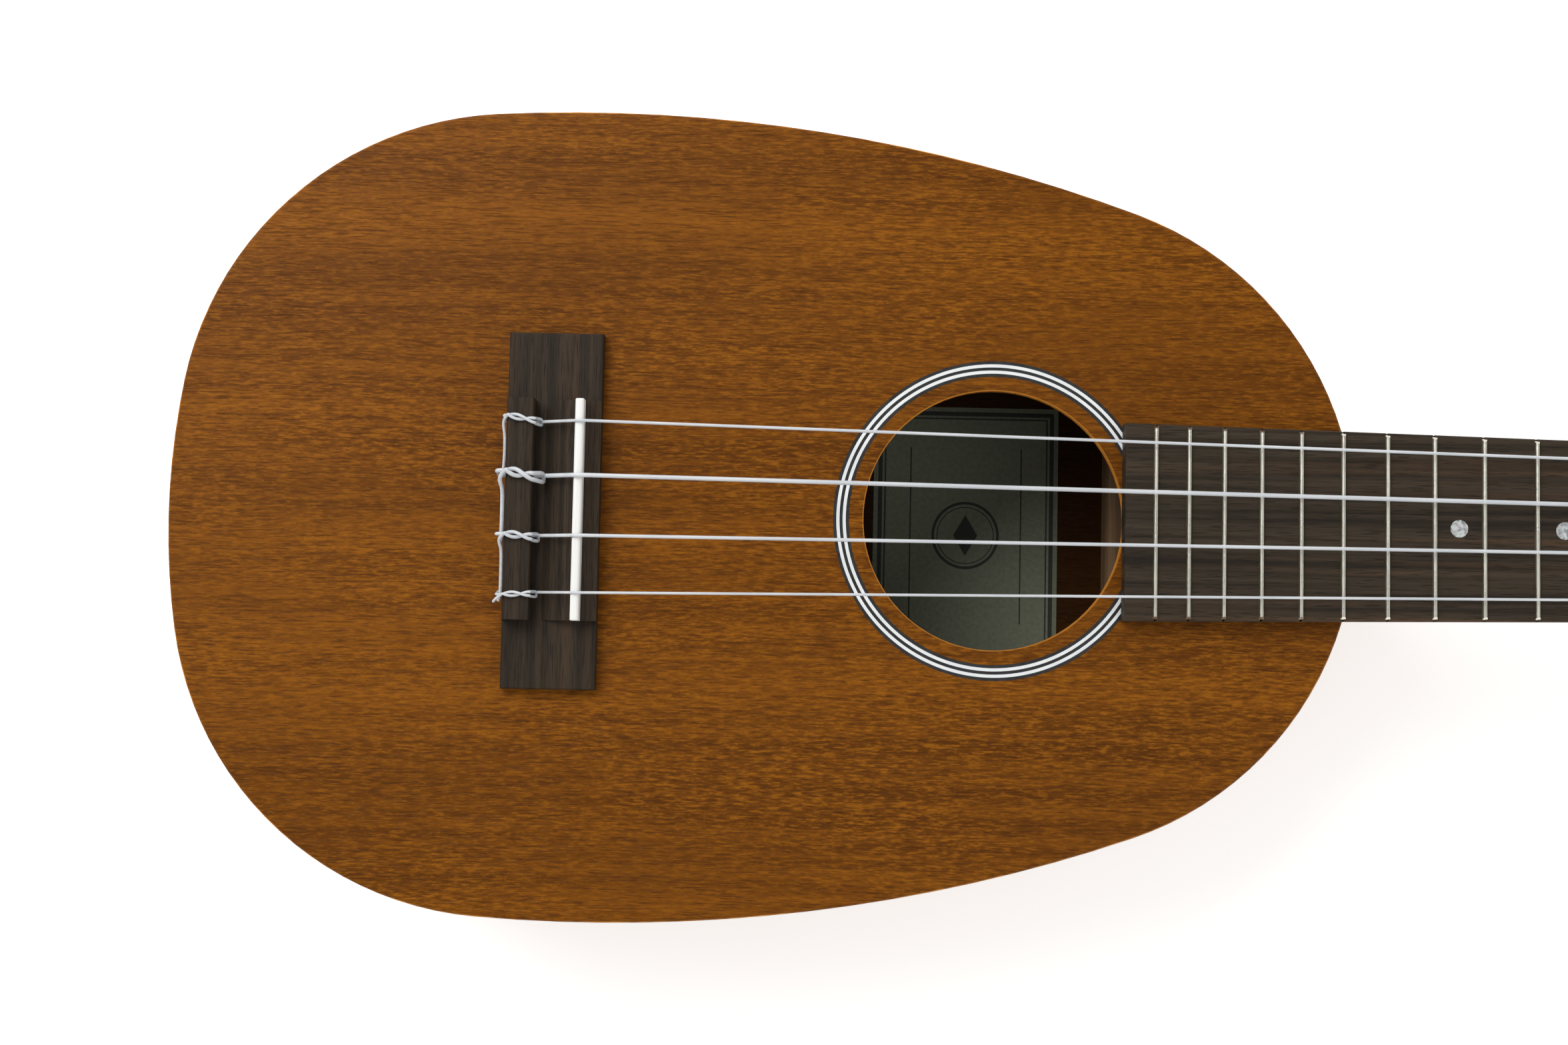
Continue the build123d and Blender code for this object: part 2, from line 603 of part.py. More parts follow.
DOT_XS = [dot_x(number) for number in DOT_FRETS]
with BuildPart() as fretboard:
    with BuildSketch(Plane.XY.offset(SOUNDBOARD_Z)):
        with BuildLine():
            Polyline(
                (BOARD_END_X, BOARD_END_WIDTH / 2),
                (NUT_FRONT_X, NUT_WIDTH / 2),
                (NUT_FRONT_X, -NUT_WIDTH / 2),
                (BOARD_END_X, -BOARD_END_WIDTH / 2),
                close=True,
            )
        make_face()
    extrude(amount=BOARD_THICKNESS)
    chamfer(fretboard.faces().sort_by(Axis.Z)[-1].edges().sort_by(Axis.X)[:-1], BOARD_CHAMFER)
    with BuildSketch(Plane.XY.offset(BOARD_TOP_Z)):
        with Locations(*[(fret_x(number), 0) for number in range(1, FRET_COUNT + 1)]):
            Rectangle(TANG[0], 2 * BOARD_END_WIDTH)
    extrude(amount=-TANG[1], mode=Mode.SUBTRACT)
    with BuildSketch(Plane.XY.offset(BOARD_TOP_Z)):
        with Locations(*[(x, 0) for x in DOT_XS]):
            Circle(DOT_RADIUS)
    extrude(amount=-DOT_DEPTH, mode=Mode.SUBTRACT)
    for x in DOT_XS:
        with BuildSketch(side_plane(x)):
            with Locations((0, SOUNDBOARD_Z + BOARD_THICKNESS / 2)):
                Circle(SIDE_DOT_RADIUS)
        extrude(amount=2 * SIDE_DOT_DEPTH, mode=Mode.SUBTRACT)
fretboard.part.label = "fretboard"
export_step(fretboard.part, "parts/fretboard.step")


def fret(x):
    """One fret: a half-round crown with bevelled ends and a straight tang under it."""
    length = board_width(x) - 2 * FRET_INSET
    with BuildPart() as wire:
        with BuildSketch(Plane.XZ):
            with BuildLine():
                Line((x - FRET_CROWN[0] / 2, BOARD_TOP_Z), (x + FRET_CROWN[0] / 2, BOARD_TOP_Z))
                EllipticalCenterArc((x, BOARD_TOP_Z), FRET_CROWN[0] / 2, FRET_CROWN[1], arc_size=180)
            make_face()
        extrude(amount=length, both=True)
        with BuildSketch(Plane.YZ.offset(x - FRET_CROWN[0])):
            with BuildLine():
                Polyline(
                    (length / 2, BOARD_TOP_Z),
                    (length / 2 - FRET_BEVEL, BOARD_TOP_Z + FRET_CROWN[1]),
                    (-length / 2 + FRET_BEVEL, BOARD_TOP_Z + FRET_CROWN[1]),
                    (-length / 2, BOARD_TOP_Z),
                    close=True,
                )
            make_face()
        extrude(amount=2 * FRET_CROWN[0], mode=Mode.INTERSECT)
        with BuildSketch(Plane.XY.offset(BOARD_TOP_Z)):
            with Locations((x, 0)):
                Rectangle(TANG[0], length)
        extrude(amount=-TANG[1])
    return wire.part


with BuildPart() as frets:
    for number in range(1, FRET_COUNT + 1):
        add(fret(fret_x(number)))
frets.part.label = "frets"
export_step(frets.part, "parts/frets.step")

with BuildPart() as fret_dots:
    with BuildSketch(Plane.XY.offset(BOARD_TOP_Z)):
        with Locations(*[(x, 0) for x in DOT_XS]):
            Circle(DOT_RADIUS)
    extrude(amount=-DOT_DEPTH)
fret_dots.part.label = "fret_dots"
export_step(fret_dots.part, "parts/fret_dots.step")

with BuildPart() as side_dots:
    for x in DOT_XS:
        with BuildSketch(side_plane(x)):
            with Locations((0, SOUNDBOARD_Z + BOARD_THICKNESS / 2)):
                Circle(SIDE_DOT_RADIUS)
        extrude(amount=SIDE_DOT_DEPTH)
side_dots.part.label = "side_dots"
export_step(side_dots.part, "parts/side_dots.step")

# ---------------------------------------------------------------------------- strings


def wrap_radius(radius):
    """Radius of a string's centreline where its fixed last turn lies round the post."""
    return WAIST_RADIUS + 2 * STRING_GAP + radius


def nut_point(radius, nut_y):
    """Where a string bends over the nut."""
    return Vector(NUT_FRONT_X + NUT_BEND, nut_y, SOUNDBOARD_Z + NUT_STRING_HEIGHT + radius)


def string_course(name, radius, nut_y):
    """Angle across the headstock at which a string runs from the nut to touch the inner side of its post."""
    along, across, side = POSTS[name]
    run = along - (nut_point(radius, nut_y) - HEAD_ORIGIN).dot(ALONG)
    swing = math.asin(wrap_radius(radius) / math.hypot(run, across - nut_y))
    return math.atan2(across - nut_y, run) - side * swing


def post_rim(name, radius, angle):
    """A point on the string's last turn, at an angle round the post."""
    along, across, _ = POSTS[name]
    rim = wrap_radius(radius)
    return head_point(along + rim * math.cos(angle), across + rim * math.sin(angle), WRAP_HEIGHT)


def string_tube(name, radius, saddle_y, nut_y):
    """A string along its whole route, from its tied end over the tie block to its last turn on the post."""
    tail_x = TIE_BLOCK_X[0] - radius - TIE_REACH
    front_x = TIE_BLOCK_X[1] + radius + STRING_GAP
    tie_top = SOUNDBOARD_Z + TIE_BLOCK_HEIGHT + radius + STRING_GAP
    tie_hole = SOUNDBOARD_Z + TIE_HOLE_HEIGHT
    crest_z = SOUNDBOARD_Z + SADDLE_HEIGHT + radius + SADDLE_GAP
    side = POSTS[name][2]
    course = string_course(name, radius, nut_y)
    touch_angle = course - side * math.pi / 2
    touch = post_rim(name, radius, touch_angle)
    approach = touch - (ALONG * math.cos(course) + ACROSS * math.sin(course)) * RUN_IN
    start = Vector(front_x, saddle_y, tie_hole + LOOP_LENGTH)
    corners = [
        start,
        Vector(front_x, saddle_y, tie_top),
        Vector(tail_x, saddle_y, tie_top),
        Vector(tail_x, saddle_y, tie_hole),
        Vector(TIE_BLOCK_X[1] + TIE_REACH, saddle_y, tie_hole),
        Vector(sum(SADDLE_X) / 2, saddle_y, crest_z),
        nut_point(radius, nut_y),
        approach,
        touch,
    ]
    with BuildPart() as tube:
        with BuildLine() as route:
            FilletPolyline(*corners, radius=STRING_BENDS)
            last_turn = side * math.radians(LAST_TURN)
            halfway = post_rim(name, radius, touch_angle + last_turn / 2)
            ThreePointArc(touch, halfway, post_rim(name, radius, touch_angle + last_turn))
        with BuildSketch(Plane(origin=start, z_dir=(0, 0, 1))):
            Circle(radius)
        sweep(path=route.line)
    return tube.part


for name, radius, saddle_y, nut_y in STRINGS:
    string = string_tube(name, radius, saddle_y, nut_y)
    string.label = f"string_{name}"
    export_step(string, f"parts/string_{name}.step")
    length = string.volume / (math.pi * radius ** 2)
    print(f"string_{name}: {len(string.solids())} solid, length {length:.1f} mm")


def nut_slot(name, radius, nut_y):
    """The space a string takes in the nut: its floor falls and its sides turn towards the post."""
    front, bend, rear = NUT_FRONT_X - NUT_BEND, NUT_FRONT_X + NUT_BEND, NUT_BACK_X + NUT_BEND
    shift = (rear - bend) * math.tan(string_course(name, radius, nut_y))
    half_width = radius + SLOT_ROOM
    floor = SOUNDBOARD_Z + NUT_STRING_HEIGHT - STRING_GAP
    with BuildPart() as slot:
        with BuildSketch(Plane.XY.offset(floor - 2 * SLOT_FALL)):
            with BuildLine():
                Polyline(
                    (front, nut_y - half_width),
                    (bend, nut_y - half_width),
                    (rear, nut_y + shift - half_width),
                    (rear, nut_y + shift + half_width),
                    (bend, nut_y + half_width),
                    (front, nut_y + half_width),
                    close=True,
                )
            make_face()
        extrude(amount=NUT_HEIGHT)
        with BuildSketch(Plane.XZ):
            with BuildLine():
                Polyline(
                    (front, floor),
                    (bend, floor),
                    (rear, floor - SLOT_FALL),
                    (rear, floor + NUT_HEIGHT),
                    (front, floor + NUT_HEIGHT),
                    close=True,
                )
            make_face()
        extrude(amount=NUT_WIDTH, both=True, mode=Mode.INTERSECT)
    return slot.part


with BuildPart() as nut:
    with BuildSketch(Plane.XZ):
        with BuildLine():
            Polyline(
                (NUT_FRONT_X, SOUNDBOARD_Z),
                (NUT_FRONT_X, SOUNDBOARD_Z + NUT_HEIGHT),
                (NUT_BACK_X, SOUNDBOARD_Z + NUT_HEIGHT - NUT_FALL),
                (NUT_BACK_X, SOUNDBOARD_Z),
                close=True,
            )
        make_face()
    extrude(amount=NUT_WIDTH / 2, both=True)
    fillet(nut.edges().filter_by(Axis.Y).group_by(Axis.Z)[-1], NUT_ROUND)
    for name, radius, _, nut_y in STRINGS:
        add(nut_slot(name, radius, nut_y), mode=Mode.SUBTRACT)
nut.part.label = "nut"
export_step(nut.part, "parts/nut.step")

# ---------------------------------------------------------------------------- tuners

with BuildPart() as ferrules:
    with BuildSketch(head_plane(0, 0, -FERRULE[3])):
        with Locations(*POST_CENTRES):
            Circle(FERRULE[1])
    extrude(amount=FERRULE[3])
    with BuildSketch(head_plane(0, 0, 0)):
        with Locations(*POST_CENTRES):
            Circle(FERRULE[0])
    extrude(amount=FERRULE[2], taper=FERRULE_TAPER)
    with BuildSketch(head_plane(0, 0, -FERRULE[3])):
        with Locations(*POST_CENTRES):
            Circle(POST_RADIUS + RUNNING_FIT)
    extrude(amount=FERRULE[3] + FERRULE[2], mode=Mode.SUBTRACT)
ferrules.part.label = "ferrules"
export_step(ferrules.part, "parts/ferrules.step")

with BuildPart() as tuner_screws:
    plate_back = BACK_FACE - PLATE_METAL
    with BuildSketch(head_plane(0, 0, plate_back)):
        with Locations(*SCREW_PLACES):
            Circle(SCREW_RADIUS)
    extrude(amount=PLATE_METAL + SCREW_LENGTH)
    with BuildSketch(head_plane(0, 0, plate_back)):
        with Locations(*SCREW_PLACES):
            Circle(SCREW_HEAD[0])
    extrude(amount=-SCREW_HEAD[1], taper=SCREW_HEAD[2])
    with BuildSketch(head_plane(0, 0, plate_back - SCREW_HEAD[1])):
        with Locations(*SCREW_PLACES):
            Rectangle(SCREW_SLOT[0], 3 * SCREW_HEAD[0])
    extrude(amount=SCREW_SLOT[1], mode=Mode.SUBTRACT)
tuner_screws.part.label = "tuner_screws"
export_step(tuner_screws.part, "parts/tuner_screws.step")


def involute(radius):
    """Involute angle of a gear flank at a radius."""
    pressure = math.acos(min(1.0, GEAR_PITCH_RADIUS * cosd(PRESSURE_ANGLE) / radius))
    return math.tan(pressure) - pressure


def gear_face(plane, turn):
    """Outline of the worm gear on a plane, turned by an angle in radians from a space facing the worm."""
    base_radius = GEAR_PITCH_RADIUS * cosd(PRESSURE_ANGLE)
    thickness = (AXIAL_PITCH - MESH_PLAY) / 2
    flank = [(GEAR_ROOT_RADIUS, base_radius)]
    for step in range(FLANK_STEPS + 1):
        radius = base_radius + (GEAR_TIP_RADIUS - base_radius) * step / FLANK_STEPS
        flank.append((radius, radius))
    rim = []
    for tooth in range(GEAR_TEETH):
        middle = turn + (tooth + 0.5) * 2 * math.pi / GEAR_TEETH
        sides = []
        for radius, flank_radius in flank:
            half = thickness / (2 * GEAR_PITCH_RADIUS) + involute(GEAR_PITCH_RADIUS) - involute(flank_radius)
            sides.append((radius, middle - half, middle + half))
        rim += [(radius * math.cos(lower), radius * math.sin(lower)) for radius, lower, _ in sides]
        rim += [(radius * math.cos(upper), radius * math.sin(upper)) for radius, _, upper in sides[::-1]]
    with BuildSketch(plane) as face:
        with BuildLine():
            Polyline(*rim, close=True)
        make_face()
    return face.sketch.face()


def worm_thread(left_hand):
    """The worm's thread, up from the origin: a tapering ridge along a helix that starts on +X."""
    half = (AXIAL_PITCH - MESH_PLAY) / 4
    slope = math.tan(math.radians(PRESSURE_ANGLE))
    inner = WORM_CORE_RADIUS - THREAD_ROOT
    outer = WORM_PITCH_RADIUS + MODULE
    with BuildPart() as thread:
        with BuildLine() as helix:
            Helix(AXIAL_PITCH, WORM_TURNS * AXIAL_PITCH, WORM_PITCH_RADIUS, lefthand=left_hand)
        with BuildSketch(Plane.XZ):
            with BuildLine():
                Polyline(
                    (inner, -half - (WORM_PITCH_RADIUS - inner) * slope),
                    (outer, -half + MODULE * slope),
                    (outer, half - MODULE * slope),
                    (inner, half + (WORM_PITCH_RADIUS - inner) * slope),
                    close=True,
                )
            make_face()
        sweep(path=helix.line, is_frenet=True)
    return thread.part


THREADS = {1: worm_thread(False), -1: worm_thread(True)}

for name, radius, _, _ in STRINGS:
    along, across, side = POSTS[name]
    outward = ACROSS * side
    post_axis = Axis(head_point(along, across, 0), OUT)
    post_side = Plane(origin=head_point(along, across, 0), x_dir=ALONG, z_dir=(0, -1, 0))
    worm_centre = head_point(along + GEAR_AXIS_DISTANCE, across, BACK_FACE - WORM_DEPTH)
    worm_axis = Axis(worm_centre, outward)
    worm_side = Plane(origin=worm_centre, x_dir=outward, z_dir=ALONG)
    gear_top = BACK_FACE - GEAR_START
    gear_back = gear_top - GEAR_WIDTH

    with BuildPart() as post:
        with BuildSketch(post_side):
            with BuildLine():
                Polyline(
                    (0, gear_back),
                    (STEM_RADIUS, gear_back),
                    (STEM_RADIUS, gear_top),
                    (POST_RADIUS, gear_top),
                    (POST_RADIUS, FERRULE[2] + WAIST_START[0]),
                    (WAIST_RADIUS, FERRULE[2] + WAIST_START[1]),
                    (WAIST_RADIUS, POST_RISE - POST_HEAD[0]),
                    (POST_HEAD_RADIUS, POST_RISE - POST_HEAD[1]),
                    (POST_HEAD_RADIUS, POST_RISE - POST_HEAD[2]),
                    (POST_TIP_RADIUS, POST_RISE),
                    (0, POST_RISE),
                    close=True,
                )
            make_face()
        revolve(axis=post_axis)
        with BuildSketch(Plane(origin=head_point(along, across, WRAP_HEIGHT + STRING_HOLE_RISE), z_dir=ALONG)):
            Circle(STRING_HOLE_RADIUS)
        extrude(amount=2 * POST_RADIUS, both=True, mode=Mode.SUBTRACT)
        with BuildSketch(head_plane(along, across, gear_back)):
            Circle(SCREW_RADIUS)
        extrude(amount=GEAR_SCREW_BORE, mode=Mode.SUBTRACT)
    post.part.label = f"string_post_{name}"
    export_step(post.part, f"parts/string_post_{name}.step")

    with BuildPart() as winding:
        for turn in range(1, WRAP_TURNS + 1):
            height = WRAP_HEIGHT - STRING_GAP - turn * (2 * radius + WRAP_GAP)
            with BuildSketch(post_side):
                with Locations((WAIST_RADIUS + radius, height)):
                    Circle(radius)
            revolve(axis=post_axis)
    winding.part.label = f"string_winding_{name}"
    export_step(winding.part, f"parts/string_winding_{name}.step")

    with BuildPart() as gear:
        twist = side * LEAD_SLOPE * GEAR_WIDTH / 2 / GEAR_PITCH_RADIUS
        lower = gear_face(head_plane(along, across, gear_back), -twist)
        upper = gear_face(head_plane(along, across, gear_top), twist)
        loft([lower, upper], ruled=True)
        with BuildSketch(head_plane(along, across, gear_back)):
            Circle(STEM_RADIUS)
        extrude(amount=GEAR_WIDTH, mode=Mode.SUBTRACT)
    gear.part.label = f"worm_gear_{name}"
    export_step(gear.part, f"parts/worm_gear_{name}.step")

    with BuildPart() as gear_screw:
        with BuildSketch(head_plane(along, across, gear_back)):
            Circle(SCREW_RADIUS)
        extrude(amount=GEAR_SCREW_LENGTH)
        with BuildSketch(head_plane(along, across, gear_back)):
            Circle(GEAR_SCREW_HEAD[0])
        extrude(amount=-GEAR_SCREW_HEAD[1], taper=GEAR_SCREW_HEAD[2])
        with BuildSketch(head_plane(along, across, gear_back - GEAR_SCREW_HEAD[1])):
            Rectangle(GEAR_SCREW_SLOT[0], 3 * GEAR_SCREW_HEAD[0])
        extrude(amount=GEAR_SCREW_SLOT[1], mode=Mode.SUBTRACT)
    gear_screw.part.label = f"gear_screw_{name}"
    export_step(gear_screw.part, f"parts/gear_screw_{name}.step")

    ear_inner = EAR_INNER - END_PLAY
    ear_outer = EAR_INNER + EAR_METAL + END_PLAY
    with BuildPart() as shaft:
        with BuildSketch(worm_side):
            with BuildLine():
                Polyline(
                    (-ear_outer - COLLAR_LENGTHS[0], 0),
                    (-ear_outer - COLLAR_LENGTHS[0], COLLAR_RADIUS),
                    (-ear_outer, COLLAR_RADIUS),
                    (-ear_outer, JOURNAL_RADIUS),
                    (-ear_inner, JOURNAL_RADIUS),
                    (-ear_inner, COLLAR_RADIUS),
                    (-ear_inner + COLLAR_LENGTHS[1], COLLAR_RADIUS),
                    (-ear_inner + COLLAR_LENGTHS[1], WORM_CORE_RADIUS),
                    (ear_inner - COLLAR_LENGTHS[1], WORM_CORE_RADIUS),
                    (ear_inner - COLLAR_LENGTHS[1], COLLAR_RADIUS),
                    (ear_inner, COLLAR_RADIUS),
                    (ear_inner, JOURNAL_RADIUS),
                    (BUTTON_START + BUTTON_BORE, JOURNAL_RADIUS),
                    (BUTTON_START + BUTTON_BORE, 0),
                    close=True,
                )
            make_face()
        revolve(axis=worm_axis)
        thread_start = worm_centre - outward * (WORM_TURNS / 2 * AXIAL_PITCH)
        with Locations(Plane(origin=thread_start, x_dir=ALONG * -1, z_dir=outward)):
            add(THREADS[side])
    shaft.part.label = f"worm_shaft_{name}"
    export_step(shaft.part, f"parts/worm_shaft_{name}.step")

    with BuildPart() as button:
        middle = worm_centre + outward * (BUTTON_START + BUTTON_LENGTH / 2)
        with BuildSketch(Plane(origin=middle, x_dir=ALONG, z_dir=OUT)):
            RectangleRounded(BUTTON_SIZE[0], BUTTON_LENGTH, BUTTON_CORNER)
        extrude(amount=BUTTON_SIZE[1] / 2, both=True)
        fillet(button.edges(), BUTTON_ROUND)
        with BuildSketch(Plane(origin=worm_centre + outward * (BUTTON_START - BUTTON_NECK[1]), z_dir=outward)):
            Circle(BUTTON_NECK[0])
        extrude(amount=BUTTON_NECK[2])
        with BuildSketch(Plane(origin=worm_centre + outward * (BUTTON_START - BUTTON_NECK[1]), z_dir=outward)):
            Circle(JOURNAL_RADIUS)
        extrude(amount=BUTTON_NECK[1] + BUTTON_BORE, mode=Mode.SUBTRACT)
    button.part.label = f"tuner_button_{name}"
    export_step(button.part, f"parts/tuner_button_{name}.step")

    with BuildPart() as plate:
        with BuildSketch(head_plane(along + PLATE_SHIFT, across, BACK_FACE)):
            RectangleRounded(PLATE_SIZE[0], 2 * (EAR_INNER + EAR_METAL), PLATE_SIZE[1])
        extrude(amount=-PLATE_METAL)
        for ear_start in (-EAR_INNER - EAR_METAL, EAR_INNER):
            with BuildSketch(Plane(origin=worm_centre + outward * ear_start, x_dir=ALONG, z_dir=outward)):
                Circle(EAR_RADIUS)
                with Locations((0, -side * (WORM_DEPTH - EAR_SHORT) / 2)):
                    Rectangle(2 * EAR_RADIUS, WORM_DEPTH - EAR_SHORT)
            extrude(amount=EAR_METAL)
        with BuildSketch(Plane(origin=worm_centre, x_dir=ALONG, z_dir=outward)):
            Circle(JOURNAL_RADIUS + RUNNING_FIT)
        extrude(amount=2 * EAR_INNER, both=True, mode=Mode.SUBTRACT)
        with BuildSketch(head_plane(0, 0, BACK_FACE)):
            with Locations((along, across)):
                Circle(POST_RADIUS + RUNNING_FIT)
            with Locations(*[(along + offset, across) for offset in SCREW_ALONG]):
                Circle(SCREW_RADIUS)
        extrude(amount=-PLATE_METAL, mode=Mode.SUBTRACT)
    plate.part.label = f"tuner_plate_{name}"
    export_step(plate.part, f"parts/tuner_plate_{name}.step")
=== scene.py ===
import json
import math

import bmesh
import bpy
from mathutils import Euler, Matrix, Vector


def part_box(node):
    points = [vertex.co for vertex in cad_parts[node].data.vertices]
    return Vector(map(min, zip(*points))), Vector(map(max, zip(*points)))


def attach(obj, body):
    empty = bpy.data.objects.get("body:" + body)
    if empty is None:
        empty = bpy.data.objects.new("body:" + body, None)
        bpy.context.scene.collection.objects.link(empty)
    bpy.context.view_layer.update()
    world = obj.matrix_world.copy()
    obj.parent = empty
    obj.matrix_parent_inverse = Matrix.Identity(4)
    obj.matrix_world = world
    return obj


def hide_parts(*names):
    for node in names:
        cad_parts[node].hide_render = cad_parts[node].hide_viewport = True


# Looks for a concert ukulele with an egg-shaped body. Everything is in metres, in the CAD model's frame:
# +X from the tail to the headstock, +Y to the side of the G string, +Z out of the soundboard.

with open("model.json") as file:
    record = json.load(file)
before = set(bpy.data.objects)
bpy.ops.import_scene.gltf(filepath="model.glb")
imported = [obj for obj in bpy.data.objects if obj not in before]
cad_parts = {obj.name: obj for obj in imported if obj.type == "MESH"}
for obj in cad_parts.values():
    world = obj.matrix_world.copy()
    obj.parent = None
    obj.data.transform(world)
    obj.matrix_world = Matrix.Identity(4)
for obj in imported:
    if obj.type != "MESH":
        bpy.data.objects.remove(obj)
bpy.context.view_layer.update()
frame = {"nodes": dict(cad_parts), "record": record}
MM = 0.001
ACROSS = Vector((0, 1, 0))


def middle(node):
    """Centre of a CAD node's box."""
    low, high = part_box(node)
    return (low + high) / 2


# ------------------------------------------------------------------ node materials


class Paint:
    """A new material, with short calls that add nodes to it and return their outputs."""

    def __init__(self, name):
        self.material = bpy.data.materials.new(name)
        self.material.use_nodes = True
        self.tree = self.material.node_tree
        self.shader = self.tree.nodes["Principled BSDF"]
        self.coordinates = self.tree.nodes.new("ShaderNodeTexCoord")
        self.point = self.coordinates.outputs["Object"]

    def node(self, kind, inputs, output=0, **settings):
        """Adds a node, fills its inputs with numbers or other nodes' outputs, and returns one output."""
        node = self.tree.nodes.new("ShaderNode" + kind)
        for key, value in settings.items():
            setattr(node, key, value)
        self.fill(node, inputs)
        return node.outputs[output]

    def fill(self, node, inputs):
        """Sets a node's inputs: a socket is linked, a number or colour is set."""
        for key, value in inputs.items():
            if isinstance(value, bpy.types.NodeSocket):
                self.tree.links.new(value, node.inputs[key])
            else:
                node.inputs[key].default_value = value

    def sum(self, *values):
        """All the values added up."""
        total = values[0]
        for value in values[1:]:
            total = self.math("ADD", total, value)
        return total

    def math(self, operation, *values):
        """One step of arithmetic on one or more values."""
        return self.node("Math", dict(enumerate(values)), operation=operation)

    def scaled(self, vector, scale, shift=(0, 0, 0)):
        """A vector times one scale for each axis, moved by a shift."""
        return self.node("VectorMath", {0: vector, 1: scale, 2: shift}, operation="MULTIPLY_ADD")

    def noise(self, vector, detail=2.0, roughness=0.5, distortion=0.0):
        """Smooth noise from 0 to 1; the vector carries its scale."""
        inputs = {"Vector": vector, "Scale": 1.0, "Detail": detail, "Roughness": roughness,
                  "Distortion": distortion}
        return self.node("TexNoise", inputs)

    def ramp(self, value, low, high, first=0.0, last=1.0):
        """A value's run from low to high as a smooth run from first to last."""
        inputs = {"Value": value, "From Min": low, "From Max": high, "To Min": first, "To Max": last}
        return self.node("MapRange", inputs, interpolation_type="SMOOTHSTEP")

    def mix(self, factor, first, second, blend="MIX"):
        """A colour between two colours."""
        inputs = {0: factor, 6: rgba(first), 7: rgba(second)}
        return self.node("Mix", inputs, output=2, data_type="RGBA", blend_type=blend)

    def split(self, vector):
        """A vector's three components."""
        node = self.tree.nodes.new("ShaderNodeSeparateXYZ")
        self.tree.links.new(vector, node.inputs[0])
        return node.outputs

    def join(self, x, y, z):
        """A vector from three components."""
        return self.node("CombineXYZ", {0: x, 1: y, 2: z})

    def bump(self, height, distance, strength):
        """Gives the surface a relief: a height from 0 to 1, times a distance in metres."""
        inputs = {"Height": height, "Distance": distance, "Strength": strength}
        self.fill(self.shader, {"Normal": self.node("Bump", inputs)})

    def finish(self, colour, roughness, **rest):
        """Fills the shader and returns the material; other inputs are named with underscores."""
        inputs = {"Base Color": rgba(colour), "Roughness": roughness}
        inputs.update({key.replace("_", " "): value for key, value in rest.items()})
        self.fill(self.shader, inputs)
        return self.material


def rgba(colour):
    """A colour with its opacity, or a socket as it is."""
    if isinstance(colour, bpy.types.NodeSocket) or len(colour) == 4:
        return colour
    return (*colour, 1.0)


# Turns an angle round the body into a length along its side.
MEAN_BODY_RADIUS = 0.11


def along_length(paint):
    """Grain coordinates for a piece whose grain runs along X."""
    return paint.point


def along_width(paint):
    """Grain coordinates for a piece whose grain runs along Y."""
    x, y, z = paint.split(paint.point)
    return paint.join(y, x, z)


def round_the_rim(paint):
    """Grain coordinates for the bent sides: round the body, then up it."""
    x, y, z = paint.split(paint.point)
    angle = paint.math("ARCTAN2", y, x)
    return paint.join(paint.math("MULTIPLY", angle, MEAN_BODY_RADIUS), z, 0.0)


def wavering(paint, grain, amount):
    """Grain coordinates that wander sideways by about an amount in metres."""
    wander = paint.noise(paint.scaled(grain, WANDER), detail=1.0)
    shift = paint.math("MULTIPLY", paint.math("SUBTRACT", wander, 0.5), 2 * amount)
    return paint.node("VectorMath", {0: grain, 1: paint.join(0.0, shift, 0.0)}, operation="ADD")


# Noise scales, in waves per metre: along the grain, then across it twice.
WANDER = (7, 16, 16)
BANDS = (1.6, 34, 34)
PATCHES = (14, 50, 50)
STREAKS = (7, 290, 290)
FLECKS = (420, 2100, 2100)
PORES = (170, 3300, 3300)
ROSEWOOD_STREAKS = (7, 520, 520)
ROSEWOOD_WARMTH = (5, 210, 210)
ROSEWOOD_PORES = (170, 3600, 3600)
RINGS = (5, 400, 400)
FIBRES = (120, 2600, 2600)
BONE_LINES = (60, 2500, 2500)
EVEN = (1, 1, 1)

MAHOGANY_DARK = (0.105, 0.0315, 0.0018)
MAHOGANY_LIGHT = (0.218, 0.0690, 0.0040)
MAHOGANY_PORE = (0.058, 0.0165, 0.0012)
MAHOGANY_GOLD = (0.310, 0.1060, 0.0062)
# Bright bare mahogany, which also serves as painted highlight on the top's edge and in the hole's wall.
BARE_WOOD_AND_HIGHLIGHT = (0.620, 0.240, 0.0350)
NICK_COLOUR = (0.850, 0.230, 0.0200)
# Near black: the painted shade on the back's face inside the body.
INSIDE_PAINTED_SHADE = (0.020, 0.009, 0.004)
ROSEWOOD_PORE = (0.010, 0.007, 0.005)
RAW_DARK = (0.23, 0.125, 0.055)
RAW_LIGHT = (0.38, 0.235, 0.12)
RAW_FIBRE = (0.16, 0.08, 0.035)

SATIN = {"Specular_IOR_Level": 0.08}
SATIN_ROUGHNESS = 0.42
GRAIN_RELIEF = 0.05 * MM
GRAIN_STRENGTH = 0.8


